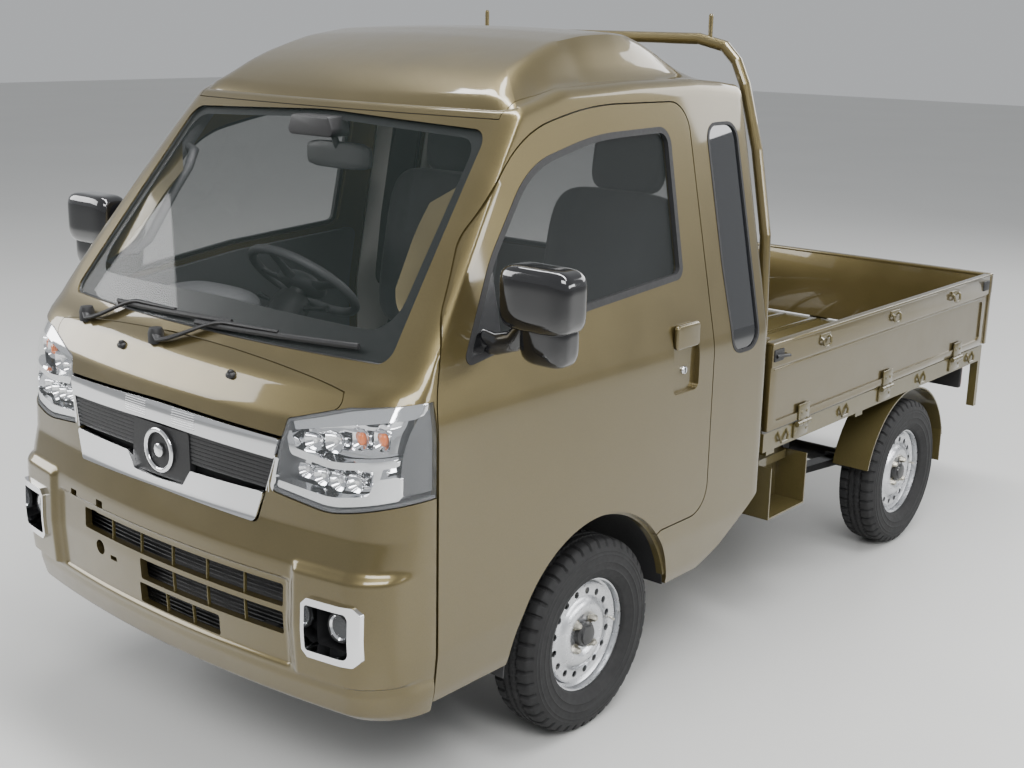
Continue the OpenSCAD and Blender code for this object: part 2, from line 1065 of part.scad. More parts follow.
module fuel_tank() {
    color(BLACK)
        across(-680, -rail_x - rail_width / 2 - seat, rounded([
            [60, 330, 30],
            [560, 330, 30],
            [560, 560, 30],
            [60, 560, 30]
        ]));
}

module battery_tray() {
    color(DARK_OLIVE) {
        block([rail_x + rail_width / 2 + seat, 90, 492], [640, 300, 520]);
        block([600, 80, 350], [606, 310, 560]);
        block([600, 80, 350], [712, 310, 356]);
        block([600, 80, 350], [712, 86, 520]);
        block([600, 304, 350], [712, 310, 520]);
    }
}

// ---- Rear axle ----

module leaf_spring() {
    low = 306;
    for (side = [-1, 1])
        across(spring_x - 25, spring_x + 25, side > 0
               ? [[rear_axle_y - 5, low - 58], [spring_rear_y - 10, low - 12],
                  [spring_rear_y - 10, low + 10], [rear_axle_y - 5, low - 30]]
               : [[spring_front_y + 10, low - 12], [rear_axle_y + 5, low - 58],
                  [rear_axle_y + 5, low - 30], [spring_front_y + 10, low + 10]]);
}

module rear_axle() {
    color(BLACK) {
        translate([-562, rear_axle_y, hub_z]) rotate([0, 90, 0])
            cylinder(h = 1124, r = 32, $fn = FACETS);
        translate([-684, rear_axle_y, hub_z]) rotate([0, 90, 0])
            cylinder(h = 1368, r = spindle, $fn = FACETS);
        translate([0, rear_axle_y - 60, hub_z]) rotate([-90, 0, 0])
            cylinder(h = 125, r = 98, $fn = FACETS);
        translate([0, rear_axle_y - 98, hub_z]) rotate([-90, 0, 0])
            cylinder(h = 40, r = 46, $fn = FACETS);
        both_sides() {
            translate([560, rear_axle_y, hub_z]) rotate([0, 90, 0])
                cylinder(h = 20, r = 105, $fn = FACETS);
            block([spring_x - 30, rear_axle_y - 40, 250], [spring_x + 30, rear_axle_y + 40, 292]);
            leaf_spring();
            for (y = [spring_front_y, spring_rear_y])
                block([spring_x - 25, y - 21, 300], [spring_x + 25, y + 21, 318 - seat]);
        }
    }
}

guard_radius = 321;

module rear_mudguards() {
    color(BLACK)
        both_sides() {
            intersection() {
                translate([578, rear_axle_y, hub_z])
                    rotate([0, 90, 0])
                        difference() {
                            cylinder(h = 136, r = guard_radius, $fn = FINE);
                            translate([0, 0, -1]) cylinder(h = 138, r = guard_radius - 5, $fn = FINE);
                        }
                block([500, 0, hub_z + 80], [800, 1600, 900]);
            }
            block([578, rear_axle_y + 300, 245], [714, rear_axle_y + 305, hub_z + 110]);
            block(
                [edge_x - 50, rear_axle_y - 30, hub_z + guard_radius - 8],
                [edge_x - 10, rear_axle_y + 30, sill_low - seat]
            );
        }
}

// ---- Wheels ----

bead = rim_diameter / 2;
lip = bead + 13;

module tyre_at(x, y) {
    half = tyre_width / 2;
    tread = tyre_diameter / 2;
    color(BLACK)
        translate([x, y, hub_z])
            rotate([0, 90, 0])
                rotate_extrude($fn = FINE)
                    polygon(rounded([
                        [bead, -50, 3],
                        [bead + 18, -60, 10],
                        [(bead + tread) / 2 - 6, -half, 40],
                        [tread - 22, -half + 3, 20],
                        [tread, -half + 17, 12],
                        [tread, half - 17, 12],
                        [tread - 22, half - 3, 20],
                        [(bead + tread) / 2 - 6, half, 40],
                        [bead + 18, 60, 10],
                        [bead, 50, 3]
                    ], 4));
}

// Steel rim for a left wheel, its outer face towards +X
module rim_at(x, y) {
    color(SILVER)
        translate([x, y, hub_z])
            rotate([0, 90, 0])
                difference() {
                    union() {
                        rotate_extrude($fn = FINE)
                            polygon([
                                [bead - 7, -52],
                                [bead - seat, -52],
                                [bead - seat, 50],
                                [lip - 2, 57],
                                [lip - 4, 60],
                                [bead - 5, 54],
                                [bead - 7, 34],
                                [128, 26],
                                [104, 30],
                                [92, 46],
                                [60, 46],
                                [34, 38],
                                [34, 50],
                                [22, 50],
                                [22, 10],
                                [30, 10],
                                [60, 38],
                                [88, 38],
                                [98, 22],
                                [bead - 7, 16]
                            ]);
                        for (i = [0:3]) rotate([0, 0, 45 + 90 * i]) translate([nut_circle / 2, 0, 40])
                            cylinder(h = 18, r = 10, $fn = 6);
                        translate([0, 0, 8]) cylinder(h = 30, r = 23, $fn = FACETS);
                    }
                    for (i = [0:vents - 1])
                        rotate([0, 0, 360 * i / vents]) translate([116, 0, 0])
                            cylinder(h = 60, r = 8.5, $fn = 24);
                    cylinder(h = 40, r = spindle + running, $fn = FACETS);
                }
}

module front_left_tyre() {
    tyre_at(wheel_x, front_axle_y);
}

module front_right_tyre() {
    tyre_at(-wheel_x, front_axle_y);
}

module rear_left_tyre() {
    tyre_at(wheel_x, rear_axle_y);
}

module rear_right_tyre() {
    tyre_at(-wheel_x, rear_axle_y);
}

module front_left_rim() {
    rim_at(wheel_x, front_axle_y);
}

module front_right_rim() {
    mirror([1, 0, 0]) rim_at(wheel_x, front_axle_y);
}

module rear_left_rim() {
    rim_at(wheel_x, rear_axle_y);
}

module rear_right_rim() {
    mirror([1, 0, 0]) rim_at(wheel_x, rear_axle_y);
}

// ---- Bed ----

edge_x = gate_outer_x - 12;
edge_y = gate_outer_y - 12;
sill_low = bed_height - 60;
floor_plate = 14;
side_hinges = [230, 820, 1410];
tail_hinges = [-520, 0, 520];
ear = 4;
ear_half = 4.5;
ear_gap = 1;

// Two ears and a pin, along +X at the middle of a gate's hinge
module hinge_ears(reach) {
    for (s = [-1, 1])
        translate([s * (gate_lug / 2 + ear_gap + ear / 2) - ear / 2, -reach, -ear_half])
            cube([ear, reach + ear_half, 2 * ear_half]);
    translate([-gate_lug / 2 - ear_gap - ear / 2, 0, 0])
        rotate([0, 90, 0])
            cylinder(h = gate_lug + 2 * ear_gap + ear, r = gate_pin, $fn = FACETS);
}

module gate_lugs_solid() {
    rotate([0, 90, 0]) translate([0, 0, -gate_lug / 2])
        cylinder(h = gate_lug, r = gate_lug_radius, $fn = FACETS);
    translate([-gate_lug / 2, -gate_lug_radius, 0])
        cube([gate_lug, gate_lug_radius, gate_bottom_z - gate_hinge_z + 1]);
}

module gate_lug_bore() {
    rotate([0, 90, 0])
        translate([0, 0, -gate_lug / 2 - 1])
            cylinder(h = gate_lug + 2, r = gate_pin + running, $fn = FACETS);
}

// Places children at each left side hinge, with +Y outwards
module at_side_hinges() {
    for (y = side_hinges) translate([gate_outer_x, y, gate_hinge_z]) rotate([0, 0, -90]) children();
}

module at_tail_hinges() {
    for (x = tail_hinges) translate([x, gate_outer_y, gate_hinge_z]) children();
}

module bed() {
    front_half = gate_inner_x - clear;
    color(OLIVE) {
        difference() {
            union() {
                block([-edge_x, bed_front_y, bed_height - floor_plate], [edge_x, edge_y, bed_height]);
                both_sides() block([edge_x - 55, bed_front_y, sill_low],
                                   [edge_x, edge_y, bed_height - 1]);
                block([-edge_x, edge_y - 40, sill_low], [edge_x, edge_y, bed_height - 1]);
                for (y = [bed_front_y + 40, 640, 1180])
                    block([-edge_x + 10, y, rail_high + rail_height + seat],
                          [edge_x - 10, y + 50, bed_height - 1]);
                block([-front_half, bed_front_y, bed_height - 1],
                      [front_half, bed_front_y + 24, gate_top_z]);
                both_sides() block([edge_x - 30, edge_y - 24, 405], [edge_x, edge_y, sill_low + 1]);
                both_sides() at_side_hinges() hinge_ears(14);
                at_tail_hinges() hinge_ears(14);
            }
            both_sides() block([564, rear_axle_y - 330, sill_low - 40],
                               [edge_x + 1, rear_axle_y + 330, sill_low]);
        }
    }
}

module left_gate() {
    color(OLIVE)
        difference() {
            union() {
                block(
                    [gate_inner_x, bed_front_y + 2, gate_bottom_z],
                    [gate_outer_x, gate_inner_y - clear, gate_top_z]
                );
                at_side_hinges() gate_lugs_solid();
            }
            at_side_hinges() gate_lug_bore();
            gate_side_panels();
        }
}

// Shallow panels pressed into the gate's outer face
module gate_side_panels() {
    length = gate_inner_y - clear - bed_front_y - 2;
    block(
        [gate_outer_x - 6, bed_front_y + 22, gate_bottom_z + 34],
        [gate_outer_x + 5, bed_front_y + length - 18, gate_bottom_z + 190]
    );
}

module right_gate() {
    mirror([1, 0, 0]) left_gate();
}

module tailgate() {
    color(OLIVE)
        difference() {
            union() {
                block([-gate_outer_x, gate_inner_y, gate_bottom_z],
                      [gate_outer_x, gate_outer_y, gate_top_z]);
                at_tail_hinges() gate_lugs_solid();
            }
            at_tail_hinges() gate_lug_bore();
            block(
                [-gate_outer_x + 60, gate_outer_y - 6, gate_bottom_z + 34],
                [gate_outer_x - 60, gate_outer_y + 5, gate_bottom_z + 190]
            );
        }
}

guard_y = bed_front_y + 20;
guard_points = [
    [678, gate_top_z + 18.5],
    [668, 1252],
    [622, 1499],
    [568, 1684],
    [536, 1750],
    [492, 1792],
    [402, guard_height - guard_tube],
    [0, guard_height - guard_tube]
];

// One straight length of tube with round ends, across the guard frame
module guard_length(a, b, r) {
    hull() {
        translate([a.x, guard_y, a.y]) sphere(r = r, $fn = 20);
        translate([b.x, guard_y, b.y]) sphere(r = r, $fn = 20);
    }
}

module guard_frame() {
    color(OLIVE) {
        both_sides() {
            for (i = [0:len(guard_points) - 2])
                guard_length(guard_points[i], guard_points[i + 1], guard_tube);
            guard_length([0, 1120], [674, 1120], 12);
            guard_length([440, 1800], [440, guard_peg_top - 7], 7);
        }
        both_sides() block([650, guard_y - 17, gate_top_z + seat], [698, guard_y + 17, gate_top_z + 8]);
    }
}

guard_peg_top = 1885;

module tail_lights() {
    color("#8c1f1c")
        both_sides() block([470, edge_y - 42, 470], [660, edge_y - 4, sill_low - seat]);
}

cab_body();
roof();
front_panel();
front_bumper();
grille();
headlights();
fog_lamps();
windshield();
cab_windows();
left_door();
right_door();
left_door_glass();
right_door_glass();
left_mirror();
right_mirror();
wipers();
dashboard();
steering_column();
steering_wheel();
left_seat();
right_seat();
chassis_frame();
front_suspension();
left_knuckle();
right_knuckle();
engine();
propshaft();
exhaust();
fuel_tank();
battery_tray();
rear_axle();
rear_mudguards();
front_left_tyre();
front_right_tyre();
rear_left_tyre();
rear_right_tyre();
front_left_rim();
front_right_rim();
rear_left_rim();
rear_right_rim();
bed();
left_gate();
right_gate();
tailgate();
guard_frame();
tail_lights();
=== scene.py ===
"""The looks of a small cab-over pickup truck, built as surfaces around its packed frame.

Lengths are in millimetres in the truck's own frame until a mesh is made: +X is the
truck's left side, -Y its front and +Z up, from the ground at the middle of the truck.
"""
import json
import math

import bmesh
import bpy
import numpy as np
from mathutils import Matrix, Vector


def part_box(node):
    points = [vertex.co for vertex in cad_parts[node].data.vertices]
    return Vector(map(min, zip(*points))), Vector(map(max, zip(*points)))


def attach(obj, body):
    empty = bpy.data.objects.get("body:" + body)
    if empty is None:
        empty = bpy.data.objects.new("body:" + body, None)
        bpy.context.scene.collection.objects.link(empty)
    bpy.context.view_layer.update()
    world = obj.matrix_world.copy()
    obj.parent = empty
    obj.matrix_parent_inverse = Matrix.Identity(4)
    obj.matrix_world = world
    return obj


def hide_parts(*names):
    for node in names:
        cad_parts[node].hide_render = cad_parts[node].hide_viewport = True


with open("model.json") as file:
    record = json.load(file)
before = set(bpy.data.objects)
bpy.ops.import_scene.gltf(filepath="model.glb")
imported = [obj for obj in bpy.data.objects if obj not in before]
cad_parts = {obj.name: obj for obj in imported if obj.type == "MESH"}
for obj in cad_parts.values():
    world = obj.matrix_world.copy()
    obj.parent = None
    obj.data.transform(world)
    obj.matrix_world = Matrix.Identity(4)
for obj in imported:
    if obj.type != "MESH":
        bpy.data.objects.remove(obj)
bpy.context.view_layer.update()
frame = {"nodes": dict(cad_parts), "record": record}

bl_info = {
    "name": "Kei Truck Looks",
    "version": (1, 0, 0),
    "blender": (4, 5, 0),
    "location": "3D View > Sidebar > Kei Truck",
    "description": "Builds the truck's body, glass, lamps, wheels, cab and bed around its frame",
    "category": "Object",
}

MM = 0.001
HALF_PI = math.pi / 2
BEVEL_ANGLE = 40.0


def box_mm(node):
    """Lowest and highest corner of a CAD node, in millimetres."""
    low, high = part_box(node)
    return np.array(low) / MM, np.array(high) / MM


TYRE_LOW, TYRE_HIGH = box_mm("front_left_tyre")
REAR_TYRE_LOW, REAR_TYRE_HIGH = box_mm("rear_left_tyre")
TYRE_R = (TYRE_HIGH[2] - TYRE_LOW[2]) / 2
TYRE_HALF = (TYRE_HIGH[0] - TYRE_LOW[0]) / 2
WHEEL_X = (TYRE_HIGH[0] + TYRE_LOW[0]) / 2
HUB_Z = TYRE_LOW[2] + TYRE_R
FRONT_AXLE = (TYRE_HIGH[1] + TYRE_LOW[1]) / 2
REAR_AXLE = (REAR_TYRE_HIGH[1] + REAR_TYRE_LOW[1]) / 2
HALF_WIDTH = box_mm("cab_body")[1][0]
CAB_REAR = box_mm("cab_body")[1][1]
GATE_HIGH = box_mm("left_gate")[1]
TAIL_HIGH = box_mm("tailgate")[1]

# ---------------------------------------------------------------------------
# Outlines


def rounded(points, steps=6):
    """Closed outline through (a, b, radius) points, each corner a circular arc.

    The arc's centre lies on the corner's bisector at radius / sin(half the angle).
    """
    out = []
    count = len(points)
    for i, (px, py, r) in enumerate(points):
        b = np.array([px, py], float)
        if r == 0:
            out.append(b[None])
            continue
        a = np.array(points[i - 1][:2], float)
        c = np.array(points[(i + 1) % count][:2], float)
        u = (a - b) / np.linalg.norm(a - b)
        v = (c - b) / np.linalg.norm(c - b)
        half = np.arccos(np.clip(u @ v, -1, 1)) / 2
        middle = b + (u + v) / np.linalg.norm(u + v) * r / np.sin(half)
        start = b + u * r / np.tan(half) - middle
        stop = b + v * r / np.tan(half) - middle
        first = np.arctan2(start[1], start[0])
        sweep = (np.arctan2(stop[1], stop[0]) - first + 3 * np.pi) % (2 * np.pi) - np.pi
        angle = first + sweep * np.linspace(0, 1, steps + 1)
        out.append(middle + r * np.stack([np.cos(angle), np.sin(angle)], 1))
    return np.concatenate(out)


def rectangle(a0, b0, a1, b1, radius, steps=6):
    """Outline of a rectangle between two corners, with rounded corners."""
    return rounded([(a0, b0, radius), (a1, b0, radius), (a1, b1, radius), (a0, b1, radius)], steps)


def counter_clockwise(outline):
    """The outline in counter-clockwise order, by the sign of its area."""
    x, y = outline.T
    area = np.sum(x * np.roll(y, -1) - y * np.roll(x, -1))
    return outline if area > 0 else outline[::-1]


def grown(outline, d):
    """The outline with each side moved out by d, corners mitred."""
    p = counter_clockwise(np.asarray(outline, float))
    u = p - np.roll(p, 1, 0)
    u /= np.linalg.norm(u, axis=1, keepdims=True)
    v = np.roll(u, -1, 0)
    normal = np.stack([u[:, 1] + v[:, 1], -u[:, 0] - v[:, 0]], 1)
    return p + normal * d / (1 + (u * v).sum(1, keepdims=True))


def mirrored(outline):
    """A flat outline with its first coordinate negated."""
    return np.asarray(outline) * [-1, 1]


def resampled(points, count, closed=False):
    """The same line with its points evenly spaced by length."""
    p = np.asarray(points, float)
    if closed:
        p = np.concatenate([p, p[:1]])
    length = np.concatenate([[0], np.cumsum(np.linalg.norm(np.diff(p, axis=0), axis=1))])
    at = np.linspace(0, length[-1], count + closed)[: count]
    return np.stack([np.interp(at, length, p[:, k]) for k in range(p.shape[1])], 1)


def smoothstep(a, b, x):
    """Smooth rise from 0 at a to 1 at b: t squared times (3 - 2 t)."""
    t = np.clip((x - a) / (b - a), 0, 1)
    return t * t * (3 - 2 * t)


# ---------------------------------------------------------------------------
# Shapes: each returns (points, faces), with faces as a list of index arrays


def grid_faces(n, m, close_u=False, close_v=False):
    """Quads of a grid of n by m points, u down the rows and v along them."""
    i = np.arange(n if close_u else n - 1)[:, None]
    j = np.arange(m if close_v else m - 1)[None, :]
    i2, j2 = (i + 1) % n, (j + 1) % m
    quads = np.stack([i * m + j, i2 * m + j, i2 * m + j2, i * m + j2], -1)
    return quads.reshape(-1, 4)


def merge(*shapes):
    """Several shapes as one."""
    points, faces, base = [], [], 0
    for p, f in shapes:
        points.append(p)
        faces += [q + base for q in f]
        base += len(p)
    return np.concatenate(points), faces


def flipped(shape):
    """The shape with its faces turned over."""
    return shape[0], [f[:, ::-1] for f in shape[1]]


def mirror_x(shape):
    """The shape's mirror image across x = 0."""
    p, f = shape
    return p * [-1, 1, 1], [q[:, ::-1] for q in f]


def pair(shape):
    """The shape and its mirror image, as two shapes."""
    return [shape, mirror_x(shape)]


def both(shape):
    """The shape and its mirror image, as one shape."""
    return merge(*pair(shape))


def shell(outer, inner, close_v=False):
    """Closed wall between two grids of the same size, rims joined edge to edge."""
    n, m = outer.shape[:2]
    count = n * m
    points = np.concatenate([outer.reshape(-1, 3), inner.reshape(-1, 3)])
    quads = grid_faces(n, m, False, close_v)
    faces = [quads, quads[:, ::-1] + count]
    index = np.arange(count).reshape(n, m)

    def rim(a, b):
        """Quads between two lines of points."""
        return np.stack([a[1:], a[:-1], b[:-1], b[1:]], 1)

    rims = [(index[0], 1), (index[-1], -1)]
    if close_v:
        rims = [(np.append(r, r[0]), s) for r, s in rims]
    else:
        rims += [(index[:, 0], -1), (index[:, -1], 1)]
    for line, sign in rims:
        wall = rim(line, line + count)
        faces.append(wall if sign > 0 else wall[:, ::-1])
    return points, faces


def capped(rings):
    """Rings of the same number of points, stacked, with both ends closed by one face."""
    rings = np.asarray(rings)
    n, m = rings.shape[:2]
    faces = [grid_faces(n, m, False, True)]
    ends = [np.arange(m)[None, :], (np.arange(m) + (n - 1) * m)[None, ::-1]]
    return rings.reshape(-1, 3), faces + ends


AXES = {"x": (1, 2, 0), "y": (0, 2, 1), "z": (0, 1, 2)}


def placed(outline, level, axis):
    """Flat outline set at a level on an axis: (y, z) on x, (x, z) on y, (x, y) on z."""
    out = np.zeros((len(outline), 3))
    a, b, c = AXES[axis]
    out[:, a], out[:, b], out[:, c] = outline[:, 0], outline[:, 1], level
    return out


def slab(outline, low, high, axis, edge=0.0, steps=2):
    """Outline carried along an axis, its rims rounded: inset = edge (1 - sin t)."""
    p = counter_clockwise(np.asarray(outline, float))
    if edge <= 0:
        levels = [(low, 0), (high, 0)]
    else:
        t = np.linspace(0, HALF_PI, steps + 1)
        inset = edge * (1 - np.sin(t))
        lift = edge * (1 - np.cos(t))
        levels = [(low + b, a) for a, b in zip(inset, lift)]
        levels += [(high - b, a) for a, b in zip(inset[::-1], lift[::-1])]
    shape = capped([placed(grown(p, -inset), level, axis) for level, inset in levels])
    return shape if axis == "y" else flipped(shape)


def ring_slab(outline, width, low, high, axis):
    """Flat frame between an outline and the same one moved in by a width."""
    p = counter_clockwise(np.asarray(outline, float))
    loops = [grown(p, -d) for d in (0, width)]
    rings = [
        placed(loops[0], low, axis),
        placed(loops[0], high, axis),
        placed(loops[1], high, axis),
        placed(loops[1], low, axis),
    ]
    rings = np.array(rings)
    shape = rings.reshape(-1, 3), [grid_faces(4, len(p), True, True)]
    return shape if axis == "y" else flipped(shape)


def box(low, high, edge=2.0):
    """Block with rounded long edges."""
    low, high = np.minimum(low, high).astype(float), np.maximum(low, high).astype(float)
    edge = min(edge, *(0.45 * (high - low)))
    outline = rectangle(low[0], low[1], high[0], high[1], edge, 2)
    return slab(outline, low[2], high[2], "z", edge)


def pillow(low, high, power=4.0, n=18):
    """Rounded block: |x/a|^p + |y/b|^p + |z/c|^p = 1, on a latitude and longitude grid."""
    low, high = np.asarray(low, float), np.asarray(high, float)
    lat = np.linspace(-HALF_PI, HALF_PI, n)[:, None]
    lon = np.linspace(0, 2 * np.pi, 2 * n, endpoint=False)[None, :]
    d = np.stack([np.cos(lat) * np.cos(lon), np.cos(lat) * np.sin(lon), np.sin(lat) + 0 * lon], -1)
    size = (np.abs(d) ** power).sum(-1, keepdims=True) ** (-1 / power)
    p = (low + high) / 2 + d * size * (high - low) / 2
    return p.reshape(-1, 3), [grid_faces(n, 2 * n, False, True)[:, ::-1]]


def lathe(profile, centre, axis="x", n=64, closed=False):
    """Profile of (radius, distance along the axis), turned round the axis."""
    r, d = np.asarray(profile, float).T
    t = np.linspace(0, 2 * np.pi, n, endpoint=False)
    u, v = r[:, None] * np.cos(t), r[:, None] * np.sin(t)
    w = d[:, None] + 0 * t
    order = {"x": (w, u, v), "y": (v, w, u), "z": (u, v, w)}[axis]
    p = np.stack(order, -1) + np.asarray(centre, float)
    return p.reshape(-1, 3), [grid_faces(len(r), n, closed, True)]


def tube(path, radius, sides=12, up=(0, 0, 1), closed=False, flat=1.0):
    """Circle, or ellipse by flat, carried square to a path: side = tangent x up."""
    p = np.asarray(path, float)
    if closed:
        tangent = np.roll(p, -1, 0) - np.roll(p, 1, 0)
    else:
        tangent = np.gradient(p, axis=0)
    tangent /= np.linalg.norm(tangent, axis=1, keepdims=True)
    side = np.cross(tangent, np.asarray(up, float))
    side /= np.linalg.norm(side, axis=1, keepdims=True)
    other = np.cross(side, tangent)
    r = np.broadcast_to(np.asarray(radius, float), (len(p),))[:, None, None]
    t = np.linspace(0, 2 * np.pi, sides, endpoint=False)[None, :, None]
    rings = p[:, None] + r * (np.cos(t) * side[:, None] + flat * np.sin(t) * other[:, None])
    if closed:
        return rings.reshape(-1, 3), [grid_faces(len(p), sides, True, True)]
    return capped(rings)


def turned(shape, axis, degrees, about):
    """The shape turned about a line through a point: Rodrigues' formula."""
    p, f = shape
    k = np.asarray(axis, float) / np.linalg.norm(axis)
    a = math.radians(degrees)
    q = p - about
    q = q * math.cos(a) + np.cross(k, q) * math.sin(a) + k * (q @ k)[:, None] * (1 - math.cos(a))
    return q + about, f


def moved(shape, by):
    """The shape moved by a vector."""
    return shape[0] + np.asarray(by, float), shape[1]


def bolt(centre, axis="x", radius=8.0, height=6.0):
    """Domed round head on a washer."""
    profile = [(0, height), (radius * 0.5, height * 0.93), (radius * 0.8, height * 0.7),
               (radius, height * 0.25), (radius * 1.3, height * 0.2), (radius * 1.3, 0), (0, 0)]
    return lathe(profile, centre, axis, 16)


# ---------------------------------------------------------------------------
# Blender objects


def mesh_object(name, shape, materials):
    """New mesh object from one shape, or from (shape, material index) pairs."""
    pairs = shape if isinstance(shape, list) else [(shape, 0)]
    points, faces = merge(*[s for s, _ in pairs])
    polygons = [row for block in faces for row in block.tolist()]
    mesh = bpy.data.meshes.new(name)
    mesh.from_pydata((points * MM).tolist(), [], polygons)
    index = [m for s, m in pairs for block in s[1] for _ in block]
    mesh.polygons.foreach_set("material_index", index)
    for m in materials:
        mesh.materials.append(m)
    obj = bpy.data.objects.new(name, mesh)
    bpy.context.scene.collection.objects.link(obj)
    return obj


def clean(obj, distance=0.02, outward=False):
    """Merges points that lie together and drops the faces that this closes up."""
    work = bmesh.new()
    work.from_mesh(obj.data)
    bmesh.ops.remove_doubles(work, verts=work.verts, dist=distance * MM)
    bmesh.ops.dissolve_degenerate(work, edges=work.edges, dist=distance * MM)
    if outward:
        bmesh.ops.recalc_face_normals(work, faces=work.faces)
    work.to_mesh(obj.data)
    work.free()


def smooth(obj, degrees=32):
    """Smooth faces, with edges sharper than an angle kept sharp."""
    obj.data.shade_smooth()
    obj.data.set_sharp_from_angle(angle=math.radians(degrees))


def piece(name, shape, finishes, body, replaces=(), sharp=32):
    """A finished piece: mesh, finish, smoothing, body, slot and the CAD nodes that it replaces."""
    keys = [finishes] if isinstance(finishes, str) else finishes
    obj = mesh_object(name, shape, [FINISH[key] for key in keys])
    clean(obj, outward=True)
    smooth(obj, sharp)
    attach(obj, body)
    if replaces:
        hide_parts(*([replaces] if isinstance(replaces, str) else replaces))
    return obj


def add_bevel(obj, width, segments=2):
    """Rounds the edges that are sharper than BEVEL_ANGLE."""
    bevel = obj.modifiers.new("edges", "BEVEL")
    bevel.width = width * MM
    bevel.segments = segments
    bevel.limit_method = "ANGLE"
    bevel.angle_limit = math.radians(BEVEL_ANGLE)
    bevel.harden_normals = True


def carve(shape, keep=None, drop=()):
    """The part of a closed shape inside keep and outside every shape in drop."""
    base = mesh_object("carving", shape, [])
    clean(base, 0.01, True)
    tools = []
    cuts = [("INTERSECT", keep)] if keep is not None else []
    cuts += [("DIFFERENCE", d) for d in drop]
    for operation, tool in cuts:
        other = mesh_object("carver", tool, [])
        clean(other, 0.01, True)
        tools.append(other)
        cut = base.modifiers.new("cut", "BOOLEAN")
        cut.operation = operation
        cut.object = other
        cut.solver = "MANIFOLD"
    before = len(base.data.vertices)
    done = base.evaluated_get(bpy.context.evaluated_depsgraph_get()).to_mesh()
    if cuts and len(done.vertices) == before:
        raise ValueError("a cut left its shape unchanged, so one of the shapes is not closed")
    points = np.empty(len(done.vertices) * 3)
    done.vertices.foreach_get("co", points)
    by_size = {}
    for polygon in done.polygons:
        by_size.setdefault(len(polygon.vertices), []).append(tuple(polygon.vertices))
    faces = [np.array(rows) for rows in by_size.values()]
    base.evaluated_get(bpy.context.evaluated_depsgraph_get()).to_mesh_clear()
    for o in [base, *tools]:
        mesh = o.data
        bpy.data.objects.remove(o)
        bpy.data.meshes.remove(mesh)
    return points.reshape(-1, 3) / MM, faces


# ---------------------------------------------------------------------------
# Finishes


def node_set(name):
    """New material with its nodes, links and Principled shader."""
    mat = bpy.data.materials.new(name)
    mat.use_nodes = True
    nodes, links = mat.node_tree.nodes, mat.node_tree.links
    return mat, nodes, links, nodes["Principled BSDF"]


def object_noise(nodes, links, scale, detail=3.0, roughness=0.5):
    """Noise on Object coordinates, in features per metre."""
    coord = nodes.new("ShaderNodeTexCoord")
    noise = nodes.new("ShaderNodeTexNoise")
    noise.inputs["Scale"].default_value = scale
    noise.inputs["Detail"].default_value = detail
    noise.inputs["Roughness"].default_value = roughness
    links.new(coord.outputs["Object"], noise.inputs["Vector"])
    return noise.outputs["Fac"]


def between(nodes, links, factor, low, high):
    """A noise value stretched over a range."""
    span = nodes.new("ShaderNodeMapRange")
    span.inputs["From Min"].default_value = 0.3
    span.inputs["From Max"].default_value = 0.7
    span.inputs["To Min"].default_value = low
    span.inputs["To Max"].default_value = high
    links.new(factor, span.inputs["Value"])
    return span.outputs["Result"]


def blend_colours(nodes, links, factor, a, b):
    """Mix of two colours by a factor."""
    mix = nodes.new("ShaderNodeMix")
    mix.data_type = "RGBA"
    mix.inputs["A"].default_value = (*a, 1)
    mix.inputs["B"].default_value = (*b, 1)
    links.new(factor, mix.inputs["Factor"])
    return mix.outputs["Result"]


def add_bump(nodes, links, shader, height, strength, distance):
    """Fine relief from a height value."""
    bump = nodes.new("ShaderNodeBump")
    bump.inputs["Strength"].default_value = strength
    bump.inputs["Distance"].default_value = distance
    links.new(height, bump.inputs["Height"])
    links.new(bump.outputs["Normal"], shader.inputs["Normal"])


def finish(name, colour, roughness, metallic=0.0, swing=0.08, patch=5.0, rough_swing=0.05,
           grain=0.0, grain_scale=400.0, **sockets):
    """Principled finish whose colour, roughness and fine relief vary with noise."""
    mat, nodes, links, shader = node_set(name)
    base = np.array(colour, float)
    factor = object_noise(nodes, links, patch, 4.0)
    spread = between(nodes, links, factor, 0.0, 1.0)
    tint = blend_colours(nodes, links, spread, tuple(base * (1 - swing)), tuple(base * (1 + swing)))
    links.new(tint, shader.inputs["Base Color"])
    fine = object_noise(nodes, links, grain_scale * 0.2, 3.0)
    low, high = max(roughness - rough_swing, 0.01), roughness + rough_swing
    links.new(between(nodes, links, fine, low, high), shader.inputs["Roughness"])
    shader.inputs["Metallic"].default_value = metallic
    if grain:
        height = object_noise(nodes, links, grain_scale, 4.0, 0.6)
        add_bump(nodes, links, shader, height, grain, 0.001)
    for socket, value in sockets.items():
        shader.inputs[socket.replace("_", " ")].default_value = value
    mat.diffuse_color = (*base, 1)
    return mat


